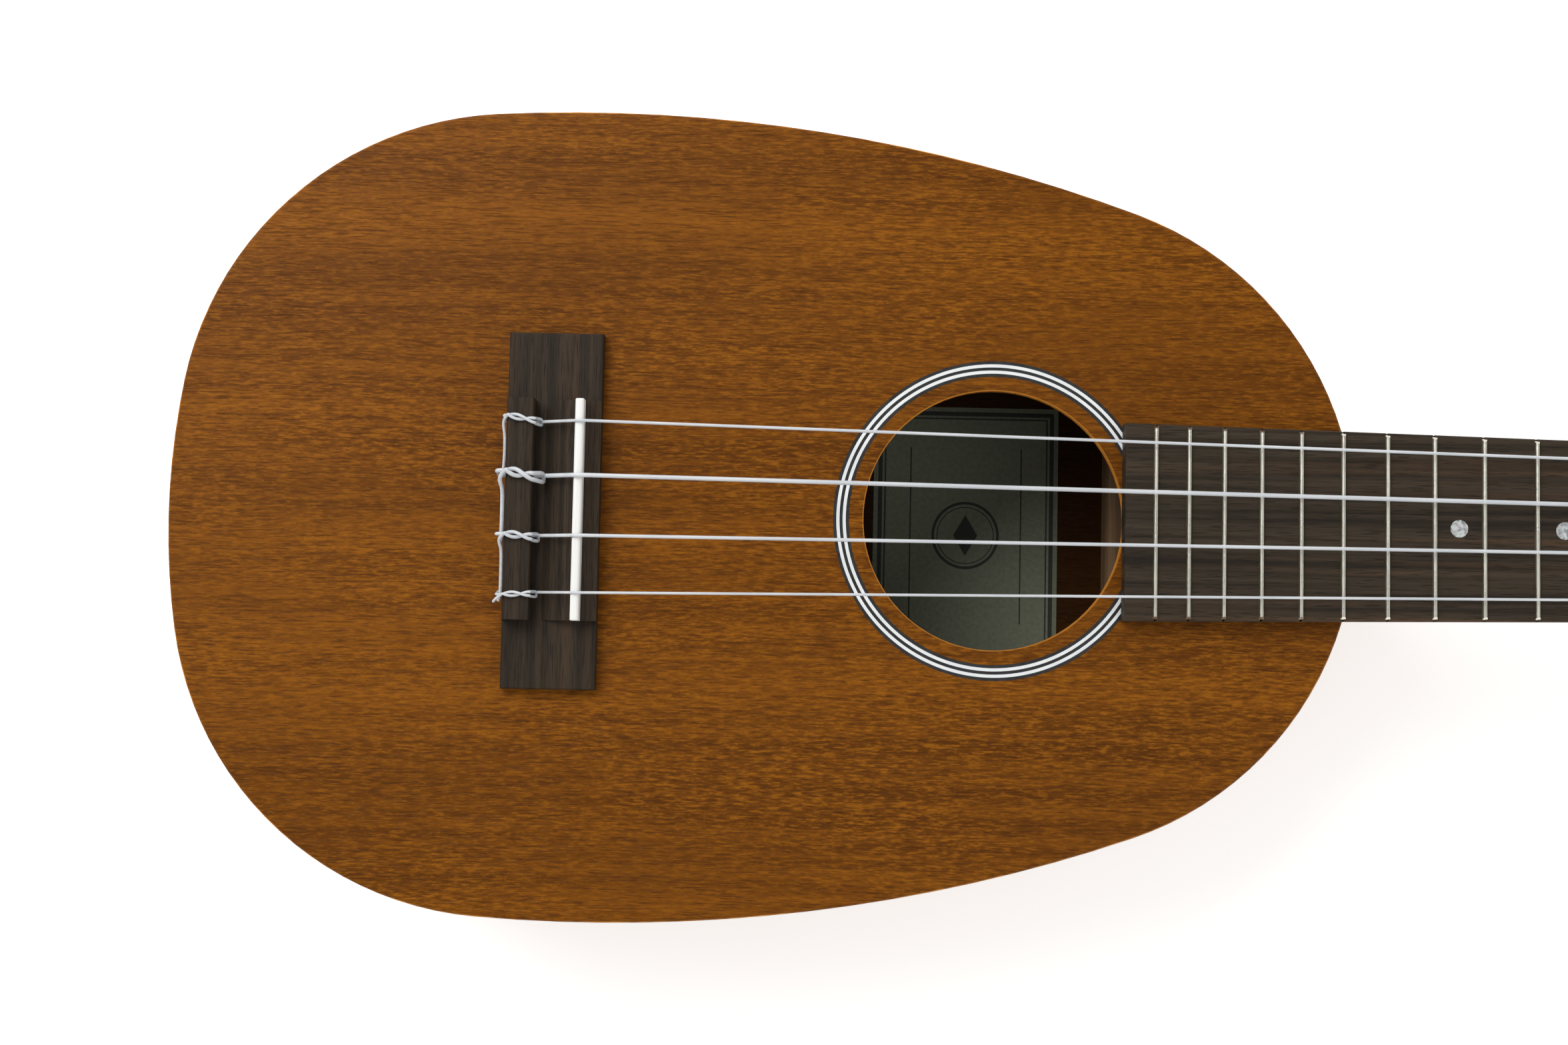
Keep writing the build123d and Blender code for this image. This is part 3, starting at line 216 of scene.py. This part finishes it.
def mahogany_colour(paint, grain, tone):
    """Banded orange-brown wood, mottled all over by short flecks and thin dark pores, and its relief."""
    grain = wavering(paint, grain, 1.6 * MM)
    bands = paint.noise(paint.scaled(grain, BANDS), detail=3.0, roughness=0.6)
    streaks = paint.noise(paint.scaled(grain, STREAKS), detail=4.0, roughness=0.65)
    blend = paint.sum(paint.ramp(bands, 0.34, 0.66, 0.0, 0.5), paint.ramp(streaks, 0.32, 0.68, 0.0, 0.5))
    colour = paint.mix(blend, MAHOGANY_DARK, MAHOGANY_LIGHT)
    patches = paint.noise(paint.scaled(grain, PATCHES, (3.1, 1.7, 0.4)), detail=2.0)
    flecks = paint.noise(paint.scaled(grain, FLECKS, (0.3, 7.0, 2.0)), detail=2.0, roughness=0.65)
    gold = paint.ramp(flecks, 0.46, 0.68)
    gold = paint.math("MULTIPLY", gold, paint.ramp(patches, 0.30, 0.70, 0.35, 0.75))
    colour = paint.mix(gold, colour, MAHOGANY_GOLD)
    dips = paint.ramp(flecks, 0.50, 0.30)
    dips = paint.math("MULTIPLY", dips, paint.ramp(patches, 0.30, 0.70, 0.25, 0.55))
    colour = paint.mix(dips, colour, MAHOGANY_PORE)
    pore_noise = paint.noise(paint.scaled(grain, PORES, (9.0, 0.0, 4.0)), detail=2.0, roughness=0.6)
    pores = paint.ramp(pore_noise, 0.53, 0.66)
    colour = paint.mix(paint.math("MULTIPLY", pores, 0.6), colour, MAHOGANY_PORE)
    colour = paint.mix(1.0, colour, (tone, tone, tone), blend="MULTIPLY")
    height = paint.math("SUBTRACT", paint.math("MULTIPLY", flecks, 0.8), pores)
    return colour, height


def mahogany(name, grain_of, tone):
    """Mahogany under a satin finish, with the grain's direction and a shade."""
    paint = Paint(name)
    colour, height = mahogany_colour(paint, grain_of(paint), tone)
    paint.bump(height, GRAIN_RELIEF, GRAIN_STRENGTH)
    return paint.finish(colour, SATIN_ROUGHNESS, **SATIN)


def soundboard_wood():
    """The top: mahogany with the finish rubbed thin at the edge and a painted highlight along it, and bare
    wood in the hole's wall, painted brighter on the side the key light reaches.
    """
    paint = Paint("mahogany_soundboard")
    colour, height = mahogany_colour(paint, along_length(paint), 1.0)
    facing_x, _, facing = paint.split(paint.coordinates.outputs["Normal"])
    rubbed = paint.noise(paint.scaled(paint.point, (38, 38, 0)), detail=4.0, roughness=0.7)
    # Bright orange on the rounded edge: finish rubbed thin in patches, and a painted highlight along the
    # edge.
    rounding = paint.math("MULTIPLY", paint.ramp(facing, 0.93, 0.70), paint.ramp(facing, 0.05, 0.35))
    rubbed_and_highlit = paint.math("MULTIPLY", rounding, paint.ramp(rubbed, 0.46, 0.62, 0.08, 0.9))
    colour = paint.mix(rubbed_and_highlit, colour, BARE_WOOD_AND_HIGHLIGHT)
    from_hole = paint.scaled(paint.point, (1, 1, 0), (-HOLE_CENTRE.x, -HOLE_CENTRE.y, 0))
    radius = paint.node("VectorMath", {0: from_hole}, output=1, operation="LENGTH")
    wall = paint.math("LESS_THAN", radius, HOLE_RADIUS + WALL_MARGIN)
    # Painted light: the wall facing the key light, on the neck side of the hole, gets far more bright orange
    # than the wall across from it.
    wall = paint.math("MULTIPLY", wall, paint.ramp(facing_x, 0.4, -0.6, 0.25, 0.9))
    colour = paint.mix(wall, colour, BARE_WOOD_AND_HIGHLIGHT)
    nick = paint.node("VectorMath", {0: paint.point, 1: NICK}, output=1, operation="DISTANCE")
    colour = paint.mix(paint.ramp(nick, 1.1 * MM, 0.5 * MM), colour, NICK_COLOUR)
    paint.bump(height, GRAIN_RELIEF, GRAIN_STRENGTH)
    return paint.finish(colour, SATIN_ROUGHNESS, **SATIN)


def back_wood():
    """The back: as other mahogany outside, with painted shade on its face inside the body, where little light
    gets in.
    """
    paint = Paint("mahogany_back")
    colour, height = mahogany_colour(paint, along_length(paint), 0.8)
    _, _, facing = paint.split(paint.coordinates.outputs["Normal"])
    # Painted shade: the face inside the body is mixed three quarters of the way to near black.
    inside = paint.math("GREATER_THAN", facing, 0.5)
    colour = paint.mix(paint.math("MULTIPLY", inside, 0.75), colour, INSIDE_PAINTED_SHADE)
    paint.bump(height, GRAIN_RELIEF, GRAIN_STRENGTH)
    return paint.finish(colour, 0.5, **SATIN)


def rosewood(name, grain_of, base, dark, warm, roughness=0.5):
    """Dark wood with fine long streaks, warmer ones among them, and open pores."""
    paint = Paint(name)
    grain = wavering(paint, grain_of(paint), 0.8 * MM)
    streaks = paint.noise(paint.scaled(grain, ROSEWOOD_STREAKS), detail=4.0, roughness=0.65)
    warm_grain = paint.scaled(grain, ROSEWOOD_WARMTH, (5.0, 2.0, 1.0))
    warm_noise = paint.noise(warm_grain, detail=3.0, roughness=0.6)
    pore_noise = paint.noise(paint.scaled(grain, ROSEWOOD_PORES, (1.0, 8.0, 0.0)), detail=1.0)
    pores = paint.ramp(pore_noise, 0.56, 0.68)
    colour = paint.mix(paint.ramp(streaks, 0.36, 0.64), dark, base)
    colour = paint.mix(paint.ramp(warm_noise, 0.52, 0.70, 0.0, 0.8), colour, warm)
    colour = paint.mix(paint.math("MULTIPLY", pores, 0.6), colour, ROSEWOOD_PORE)
    height = paint.math("SUBTRACT", paint.math("MULTIPLY", streaks, 0.4), pores)
    paint.bump(height, GRAIN_RELIEF, 0.7)
    return paint.finish(colour, roughness, Specular_IOR_Level=0.12)


def raw_wood(name, tone=1.0):
    """Pale inner wood that no finish covers."""
    paint = Paint(name)
    grain = wavering(paint, along_width(paint), 1.0 * MM)
    rings = paint.noise(paint.scaled(grain, RINGS), detail=3.0, roughness=0.6)
    fibres = paint.noise(paint.scaled(grain, FIBRES), detail=2.0)
    colour = paint.mix(paint.ramp(rings, 0.35, 0.65), RAW_DARK, RAW_LIGHT)
    colour = paint.mix(paint.ramp(fibres, 0.50, 0.72, 0.0, 0.4), colour, RAW_FIBRE)
    colour = paint.mix(1.0, colour, (tone, tone, tone), blend="MULTIPLY")
    paint.bump(fibres, 0.06 * MM, 0.6)
    return paint.finish(colour, 0.75)


def plastic(name, first, second, roughness, **rest):
    """Smooth moulded material whose colour drifts slightly."""
    paint = Paint(name)
    drift = paint.noise(paint.scaled(paint.point, (160, 160, 160)), detail=3.0)
    grease = paint.noise(paint.scaled(paint.point, (900, 900, 900)), detail=2.0)
    colour = paint.mix(paint.ramp(drift, 0.3, 0.7), first, second)
    rough = paint.ramp(grease, 0.3, 0.7, roughness * 0.8, roughness * 1.25)
    return paint.finish(colour, rough, **rest)


def bone(name):
    """Bone: off-white with faint fine lines."""
    paint = Paint(name)
    lines = paint.noise(paint.scaled(along_width(paint), BONE_LINES), detail=2.0)
    colour = paint.mix(paint.ramp(lines, 0.45, 0.75, 0.0, 0.6), (0.82, 0.82, 0.79), (0.73, 0.72, 0.67))
    return paint.finish(colour, 0.35, Subsurface_Weight=0.12, Subsurface_Scale=0.001)


def metal(name, colour, roughness, scratches=(1500, 90, 1500)):
    """Bare or plated metal with fine rubbed lines."""
    paint = Paint(name)
    lines = paint.noise(paint.scaled(paint.point, scratches), detail=3.0, roughness=0.7)
    smudges = paint.noise(paint.scaled(paint.point, (260, 260, 260)), detail=3.0)
    dull = tuple(channel * 0.82 for channel in colour)
    shade = paint.mix(paint.ramp(smudges, 0.42, 0.70), colour, dull)
    rough = paint.sum(
        paint.ramp(lines, 0.35, 0.70, roughness * 0.8, roughness * 1.3),
        paint.ramp(smudges, 0.45, 0.70, 0.0, 0.08),
    )
    paint.bump(lines, 0.006 * MM, 0.5)
    return paint.finish(shade, rough, Metallic=1.0)


def pearl(name):
    """Mother of pearl: swirling silver with faint green and pink."""
    paint = Paint(name)
    swirl = paint.noise(paint.scaled(paint.point, (420, 420, 420)), detail=2.0, distortion=2.5)
    tint_point = paint.scaled(paint.point, (700, 700, 700), (4.0, 2.0, 0.0))
    tint = paint.noise(tint_point, detail=1.0, distortion=1.5)
    colour = paint.mix(paint.ramp(swirl, 0.36, 0.64), (0.17, 0.18, 0.19), (0.58, 0.60, 0.60))
    colour = paint.mix(paint.ramp(tint, 0.45, 0.7, 0.0, 0.4), colour, (0.46, 0.54, 0.47))
    colour = paint.mix(paint.ramp(tint, 0.50, 0.3, 0.0, 0.3), colour, (0.56, 0.44, 0.47))
    return paint.finish(colour, 0.18, Coat_Weight=0.6, Coat_Roughness=0.08)


def nylon(name):
    """Clear string with a milky, slightly blue body."""
    paint = Paint(name)
    cloud = paint.noise(paint.scaled(paint.point, (60, 900, 900)), detail=2.0)
    colour = paint.mix(paint.ramp(cloud, 0.3, 0.7), (0.70, 0.73, 0.76), (0.84, 0.86, 0.88))
    return paint.finish(colour, 0.22, IOR=1.45, Transmission_Weight=0.3)


# Printed marks on the label, in millimetres: each line's place and half its width. The two rules also have
# half their length, and the lozenge its slope and half its width.
LABEL_BORDER = [(1.7, 0.55), (3.0, 0.2)]
LABEL_RINGS = [(8.5, 0.35), (7.4, 0.12)]
LABEL_RULES = (14.5, 0.18, 23)
LABEL_LOZENGE = (0.6, 3.2)


def label_paper():
    """Printed paper: a double border, thin rules and a plain ring, and no lettering."""
    paint = Paint("label_paper")
    low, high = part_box("label")
    centre, half = (low + high) / 2, (high - low) / 2
    x, y, _ = paint.split(paint.scaled(paint.point, EVEN, tuple(-centre)))
    off_x, off_y = paint.math("ABSOLUTE", x), paint.math("ABSOLUTE", y)
    to_end, to_side = paint.math("SUBTRACT", half.x, off_x), paint.math("SUBTRACT", half.y, off_y)
    to_edge = paint.math("MINIMUM", to_end, to_side)
    radius = paint.math("SQRT", paint.sum(paint.math("MULTIPLY", x, x), paint.math("MULTIPLY", y, y)))
    rule_place, rule_width, rule_reach = LABEL_RULES
    rule = paint.math("COMPARE", off_x, rule_place * MM, rule_width * MM)
    ink = paint.math("MULTIPLY", rule, paint.math("LESS_THAN", off_y, rule_reach * MM))
    lines = [(to_edge, *line) for line in LABEL_BORDER] + [(radius, *line) for line in LABEL_RINGS]
    for distance, place, width in lines:
        ink = paint.math("MAXIMUM", ink, paint.math("COMPARE", distance, place * MM, width * MM))
    slope, reach = LABEL_LOZENGE
    lozenge = paint.math("LESS_THAN", paint.sum(off_x, paint.math("MULTIPLY", off_y, slope)), reach * MM)
    ink = paint.math("MAXIMUM", ink, lozenge)
    fibres = paint.noise(paint.scaled(paint.point, (900, 900, 900)), detail=4.0, roughness=0.7)
    paper = paint.mix(paint.ramp(fibres, 0.3, 0.7), (0.21, 0.225, 0.155), (0.27, 0.29, 0.205))
    colour = paint.mix(paint.math("MULTIPLY", ink, 0.88), paper, (0.020, 0.024, 0.022))
    paint.bump(fibres, 0.02 * MM, 0.5)
    return paint.finish(colour, 0.8)


HOLE_CENTRE = middle("rosette_white")
HOLE_RADIUS = 29.8 * MM
WALL_MARGIN = 0.2 * MM
# A small chip in the top's edge at the tail.
NICK = Vector((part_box("soundboard")[0].x + 0.2 * MM, -34 * MM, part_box("soundboard")[1].z - 0.6 * MM))

# Base, dark and warm colour of the rosewood.
BOARD_TONES = ((0.049, 0.036, 0.024), (0.021, 0.0155, 0.0105), (0.080, 0.047, 0.026))
BRIDGE_TONES = ((0.041, 0.028, 0.0175), (0.022, 0.0155, 0.0102), (0.056, 0.035, 0.0205))
STRING_MATERIAL = nylon("nylon_string")
SLOT_MATERIALS = {
    "mahogany_body": mahogany("mahogany_body", along_length, 0.80),
    "inner_wood": raw_wood("inner_wood"),
    "rosewood": rosewood("rosewood_board", along_length, *BOARD_TONES),
    "ring_black": plastic("ring_black", (0.010, 0.010, 0.011), (0.018, 0.018, 0.019), 0.35),
    "ring_white": plastic("ring_white", (0.80, 0.81, 0.80), (0.72, 0.74, 0.75), 0.35),
    "paper": label_paper(),
    "bone": bone("bone"),
    "nickel": metal("nickel_fret", (0.66, 0.64, 0.55), 0.30),
    "pearl": pearl("pearl_dot"),
    "white_dot": plastic("white_dot", (0.82, 0.82, 0.78), (0.70, 0.70, 0.66), 0.3),
    "string": STRING_MATERIAL,
    "chrome": metal("chrome_plate", (0.83, 0.83, 0.82), 0.13),
    "brass": metal("brass_gear", (0.66, 0.46, 0.19), 0.28, (900, 900, 300)),
    "button_plastic": plastic("button_plastic", (0.80, 0.77, 0.68), (0.62, 0.58, 0.49), 0.25,
                              Coat_Weight=0.4, Coat_Roughness=0.1),
}
NODE_MATERIALS = {
    "soundboard": soundboard_wood(),
    # The neck block's tone of 0.22 is painted shade: the block sits in shade inside the body.
    "neck_block": raw_wood("neck_block_wood_painted_shade", 0.22),
    "back": back_wood(),
    "side_bass": mahogany("mahogany_side", round_the_rim, 0.85),
    "side_treble": mahogany("mahogany_side_treble", round_the_rim, 0.85),
    "neck": mahogany("mahogany_neck", along_length, 0.75),
    "bridge": rosewood("rosewood_bridge", along_width, *BRIDGE_TONES),
    "headplate": rosewood("rosewood_headplate", along_length, *BOARD_TONES, roughness=0.35),
}
for subpart in frame["record"]["subparts"]:
    node = subpart["node"]
    look = NODE_MATERIALS.get(node) or SLOT_MATERIALS[subpart["material_slot"]]
    for material_slot in frame["nodes"][node].material_slots:
        material_slot.material = look

# ------------------------------------------------------------------ strings

SADDLE_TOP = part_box("saddle")[1].z
SADDLE_X = middle("saddle").x
SOUNDBOARD_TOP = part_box("soundboard")[1].z
TIE_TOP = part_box("bridge")[1].z
TIE_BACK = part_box("bridge")[0].x
TIE_DEPTH = 6.55 * MM
TIE_FRONT = TIE_BACK + TIE_DEPTH
TIE_HOLE = SOUNDBOARD_TOP + 4.2 * MM
NUT_BEND_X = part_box("nut")[0].x + 1.0 * MM
NUT_FLOOR = SOUNDBOARD_TOP + 5.9 * MM
WRAP_HEIGHT = 6.0 * MM
POST_WAIST = 2.4 * MM
WRAP_GAP = 0.12 * MM
SADDLE_GAP = 0.2 * MM
LAST_TURN = math.radians(290)
RUN_IN = 5.0 * MM
# Bend radii at the hole's mouth, the saddle, the nut and the run on to the post.
BENDS = [1.5 * MM, 2 * MM, 6 * MM, 8 * MM]

SIDES = 14
TURN_STEPS = 40
BEND_STEPS = 8
CURVE_STEPS = 6
TWIST_STEPS = 12
MIN_STEP = 0.02 * MM
# A string's end faces have this share of its radius.
END_SHARE = 0.75

# The tied ends: turns of the twist; in string radii, how far its two strands lie from its middle (up and
# sideways) and the middle's height over the tie block; where it starts past the tie block's back and ends
# past its front; and how much lower both ends are.
TWISTS = 0.75
LAY, SPREAD, RISE = 1.06, 1.4, 2.15
TWIST_START, TWIST_END = 0.9 * MM, 0.35 * MM
TWIST_SAG = 0.25 * MM

# Per string, in millimetres: radius, place across the saddle and the nut, the knot's tail end (x, y) and
# front end (x, y), and the tail's points (x, y, height over the soundboard).
STRINGS = {
    "g": (0.35, 19.9, 13.5, (-58.75, 20.9), (-50.5, 19.75),
          [(-59.9, 6.2, 5.5), (-59.0, 8.4, 5.8), (-58.72, 11.0, 5.9), (-58.68, 16.0, 6.3),
           (-58.9, 19.4, 7.3)]),
    "c": (0.50, 7.6, 4.5, (-59.9, 8.4), (-49.6, 7.1),
          [(-59.1, -8.4, 5.4), (-58.9, -5.9, 5.7), (-58.85, 0.0, 5.8), (-58.9, 4.0, 6.2), (-59.3, 6.7, 7.6)]),
    "e": (0.40, -5.95, -4.5, (-59.7, -5.8), (-50.5, -6.45),
          [(-59.2, -20.9, 5.4), (-58.75, -19.0, 5.8), (-58.7, -14.0, 5.9), (-58.75, -9.5, 6.3),
           (-59.1, -7.2, 7.5)]),
    "a": (0.31, -18.75, -13.5, (-59.35, -19.35), (-50.7, -19.2),
          [(-60.1, -21.1, 7.0), (-59.6, -20.6, 7.6), (-59.1, -20.2, 8.0)]),
}


def smooth_points(points):
    """Points on a Catmull-Rom curve through the given ones."""
    ends = [points[0] * 2 - points[1], *points, points[-1] * 2 - points[-2]]
    out = []
    for before, start, end, after in zip(ends, ends[1:], ends[2:], ends[3:]):
        for step in range(CURVE_STEPS):
            t = step / CURVE_STEPS
            out.append((start * 2 + (end - before) * t + (before * 2 - start * 5 + end * 4 - after) * t ** 2
                        + (start * 3 - before - end * 3 + after) * t ** 3) / 2)
    return out + [points[-1]]


def rounded(points, radii):
    """A run of straight pieces with an arc of its own radius at each inner corner."""
    out = [points[0]]
    for before, corner, after, radius in zip(points, points[1:], points[2:], radii):
        back, ahead = (before - corner).normalized(), (after - corner).normalized()
        half = back.angle(ahead) / 2
        centre = corner + (back + ahead).normalized() * radius / math.sin(half)
        start = corner + back * radius / math.tan(half) - centre
        end = corner + ahead * radius / math.tan(half) - centre
        sweep = start.angle(end)
        axis = start.cross(end).normalized()
        for step in range(BEND_STEPS + 1):
            out.append(centre + Matrix.Rotation(sweep * step / BEND_STEPS, 3, axis) @ start)
    return out + [points[-1]]


def tube(name, path, radius, material):
    """A round string along a path, with softened ends, as a mesh."""
    mesh = bmesh.new()
    points = [path[0]] + [b for a, b in zip(path, path[1:]) if (b - a).length > MIN_STEP]
    tangents = []
    for before, after in zip([points[0], *points], [*points[1:], points[-1]]):
        tangents.append((after - before).normalized())
    normal = tangents[0].orthogonal().normalized()
    cap = (1 - END_SHARE) * radius
    stations = [(points[0] - tangents[0] * cap, tangents[0], radius * END_SHARE)]
    stations += [(point, tangent, radius) for point, tangent in zip(points, tangents)]
    stations.append((points[-1] + tangents[-1] * cap, tangents[-1], radius * END_SHARE))
    rings = []
    for point, tangent, size in stations:
        normal = (normal - tangent * normal.dot(tangent)).normalized()
        side = tangent.cross(normal)
        ring = []
        for corner in range(SIDES):
            angle = 2 * math.pi * corner / SIDES
            spoke = normal * math.cos(angle) + side * math.sin(angle)
            ring.append(mesh.verts.new(point + spoke * size))
        rings.append(ring)
    for lower, upper in zip(rings, rings[1:]):
        for corner in range(SIDES):
            after = (corner + 1) % SIDES
            mesh.faces.new((lower[corner], lower[after], upper[after], upper[corner]))
    mesh.faces.new(rings[0][::-1])
    mesh.faces.new(rings[-1])
    for face in mesh.faces:
        face.smooth = len(face.verts) == 4
    data = bpy.data.meshes.new(name)
    mesh.to_mesh(data)
    mesh.free()
    piece = bpy.data.objects.new(name, data)
    data.materials.append(material)
    bpy.context.scene.collection.objects.link(piece)
    return piece


def knot_path(radius, saddle_y, tail_end, front_end, tail):
    """The tied end: tail, twisted return over the tie block, loop round the string, and back to the hole."""
    over = TIE_TOP + RISE * radius
    loop_x = front_end[0] * MM - radius
    start, end = TIE_BACK + TWIST_START, TIE_FRONT + TWIST_END
    tail_y, front_y = tail_end[1] * MM, front_end[1] * MM
    hole_y = saddle_y * MM

    def strand(share, which):
        """A point on one of the twist's two strands, which are -1 and 1."""
        angle = math.pi - 2 * math.pi * TWISTS * (1 - share)
        x = start + (end - start) * share
        y = tail_y + (front_y - tail_y) * share + which * SPREAD * radius * math.cos(angle)
        z = over - TWIST_SAG * (2 * share - 1) ** 4 + which * LAY * radius * math.sin(angle)
        return Vector((x, y, z))

    shares = [step / TWIST_STEPS for step in range(TWIST_STEPS + 1)]
    points = [Vector((x * MM, y * MM, SOUNDBOARD_TOP + z * MM)) for x, y, z in tail]
    points += [strand(share, -1) for share in shares]
    rise = (SADDLE_TOP + radius - TIE_HOLE) / (SADDLE_X - TIE_FRONT)
    core = TIE_HOLE + max(0.0, loop_x - TIE_FRONT) * rise
    # One side of the loop from the top down: x from the loop's front, radii from the string, height.
    loop = [
        (-0.80 * MM, 1.7, TIE_TOP - 0.4 * MM),
        (-0.10 * MM, 1.9, core + 1.7 * radius),
        (0.15 * MM, 1.5, core - 1.5 * radius),
        (0.10 * MM, 0.0, core - 2.2 * radius),
    ]
    points += [Vector((loop_x + x, front_y + out * radius, z)) for x, out, z in loop]
    points += [Vector((loop_x + x, front_y - out * radius, z)) for x, out, z in loop[-2::-1]]
    points += [strand(share, 1) for share in shares[::-1]]
    behind = tail_end[0] * MM
    # Down the back of the tie block and into the hole.
    points += [
        Vector((behind + 0.12 * MM, tail_y - 0.1 * MM, TIE_TOP + 0.2 * radius)),
        Vector((behind, tail_y * 0.6 + hole_y * 0.4, TIE_HOLE + 2.2 * MM)),
        Vector((behind + 0.15 * MM, hole_y, TIE_HOLE + 0.7 * MM)),
        Vector((behind + 0.9 * MM, hole_y, TIE_HOLE)),
        Vector((TIE_FRONT - 3 * MM, hole_y, TIE_HOLE)),
    ]
    return smooth_points(points)


def post_frame(name):
    """A string post's foot on the headplate, and the headstock's long and outward directions."""
    joints = {joint["name"]: joint for joint in frame["record"]["behaviour"]["joints"]}
    joint = joints[f"post_turn_{name}"]
    out = Vector(joint["axis"]).normalized()
    return Vector(joint["pos_m"]), Vector((out.z, 0, -out.x)), out


def head_path(name, radius, saddle_y, nut_y):
    """From the tie hole over saddle and nut to the fixed last turn round the post."""
    post, along, out = post_frame(name)
    side = math.copysign(1, post.y)
    rim = POST_WAIST + WRAP_GAP + radius
    nut = Vector((NUT_BEND_X, nut_y * MM, NUT_FLOOR + radius))
    run, gap = (post - nut).dot(along), post.y - nut.y
    course = math.atan2(gap, run) - side * math.asin(rim / math.hypot(run, gap))

    def rim_point(angle):
        return post + (along * math.cos(angle) + ACROSS * math.sin(angle)) * rim + out * WRAP_HEIGHT

    first = course - side * math.pi / 2
    touch = rim_point(first)
    corners = [
        Vector((TIE_FRONT - 2 * MM, saddle_y * MM, TIE_HOLE)),
        Vector((TIE_FRONT + 1 * MM, saddle_y * MM, TIE_HOLE)),
        Vector((SADDLE_X, saddle_y * MM, SADDLE_TOP + radius + SADDLE_GAP)),
        nut,
        touch - (along * math.cos(course) + ACROSS * math.sin(course)) * RUN_IN,
        touch,
    ]
    path = rounded(corners, BENDS)
    for step in range(1, TURN_STEPS + 1):
        path.append(rim_point(first + side * LAST_TURN * step / TURN_STEPS))
    return path


for name, (radius, saddle_y, nut_y, tail_end, front_end, tail) in STRINGS.items():
    route = knot_path(radius * MM, saddle_y, tail_end, front_end, tail)
    route += head_path(name, radius * MM, saddle_y, nut_y)
    string = tube(f"tied_string_{name}", route, radius * MM, STRING_MATERIAL)
    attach(string, "instrument")
    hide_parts(f"string_{name}")

# ------------------------------------------------------------------ floor, light and camera

FLOOR_HALF_SIZE = 15.0
FLOOR_DROP = 0.3 * MM
FLOOR_GLOW = (1, 0.97, 0.935, 1)
# Each lamp's place, edge and power, and the point that both face.
TARGET = (0, 0, 0.05)
KEY = ((-0.55, 0.65, 0.95), 0.9, 13)
FILL = ((0.9, -0.7, 1.2), 1.4, 5)
# Brightness of the surroundings: from the first value at a low height to the second at a high one.
SKY_HEIGHTS = (0.1, 0.6)
SKY_STRENGTHS = (1.0, 0.42)
# The lens and sensor are in millimetres, the camera's turn about X, Y and Z in degrees.
LENS = 42.857
SENSOR = 36.0
NEAR = 0.01
CAMERA_PLACE = (2.56 * MM, -28.22 * MM, 491.2 * MM)
CAMERA_TURN = (3.577, -0.372, 1.187)


def floor():
    """A wide pale floor under the back."""
    paint = Paint("floor")
    cloud = paint.noise(paint.scaled(paint.point, (3, 3, 3)), detail=2.0)
    colour = paint.mix(paint.ramp(cloud, 0.3, 0.7), (0.90, 0.90, 0.90), (0.92, 0.92, 0.92))
    material = paint.finish(colour, 0.9, Emission_Color=FLOOR_GLOW, Emission_Strength=0.5)
    mesh = bmesh.new()
    bmesh.ops.create_grid(mesh, x_segments=8, y_segments=8, size=FLOOR_HALF_SIZE)
    data = bpy.data.meshes.new("floor")
    mesh.to_mesh(data)
    mesh.free()
    data.materials.append(material)
    piece = bpy.data.objects.new("floor", data)
    piece.location = (0, 0, -FLOOR_DROP)
    bpy.context.scene.collection.objects.link(piece)


def area_light(name, place, size, power):
    """A square lamp that points at the middle of the body."""
    light = bpy.data.lights.new(name, "AREA")
    light.shape = "RECTANGLE"
    light.size = light.size_y = size
    light.energy = power
    lamp = bpy.data.objects.new(name, light)
    lamp.location = place
    lamp.rotation_euler = (Vector(TARGET) - Vector(place)).to_track_quat("-Z", "Y").to_euler()
    bpy.context.scene.collection.objects.link(lamp)


def studio():
    """White surroundings, brightest at the horizon and less than half as bright overhead."""
    world = bpy.data.worlds.new("studio")
    world.use_nodes = True
    nodes, links = world.node_tree.nodes, world.node_tree.links
    coordinates = nodes.new("ShaderNodeTexCoord")
    parts = nodes.new("ShaderNodeSeparateXYZ")
    rise = nodes.new("ShaderNodeMapRange")
    rise.interpolation_type = "SMOOTHSTEP"
    rise.inputs["From Min"].default_value, rise.inputs["From Max"].default_value = SKY_HEIGHTS
    rise.inputs["To Min"].default_value, rise.inputs["To Max"].default_value = SKY_STRENGTHS
    links.new(coordinates.outputs["Generated"], parts.inputs[0])
    links.new(parts.outputs[2], rise.inputs["Value"])
    links.new(rise.outputs["Result"], nodes["Background"].inputs["Strength"])
    nodes["Background"].inputs["Color"].default_value = (1, 1, 1, 1)
    bpy.context.scene.world = world


floor()
area_light("key", *KEY)
area_light("fill", *FILL)
studio()
bpy.context.scene.view_settings.view_transform = "Standard"

camera_data = bpy.data.cameras.new("camera")
camera_data.lens = LENS
camera_data.sensor_width = SENSOR
camera_data.clip_start = NEAR
camera = bpy.data.objects.new("camera", camera_data)
camera.location = CAMERA_PLACE
camera.rotation_euler = Euler([math.radians(angle) for angle in CAMERA_TURN])
bpy.context.scene.collection.objects.link(camera)
bpy.context.scene.camera = camera
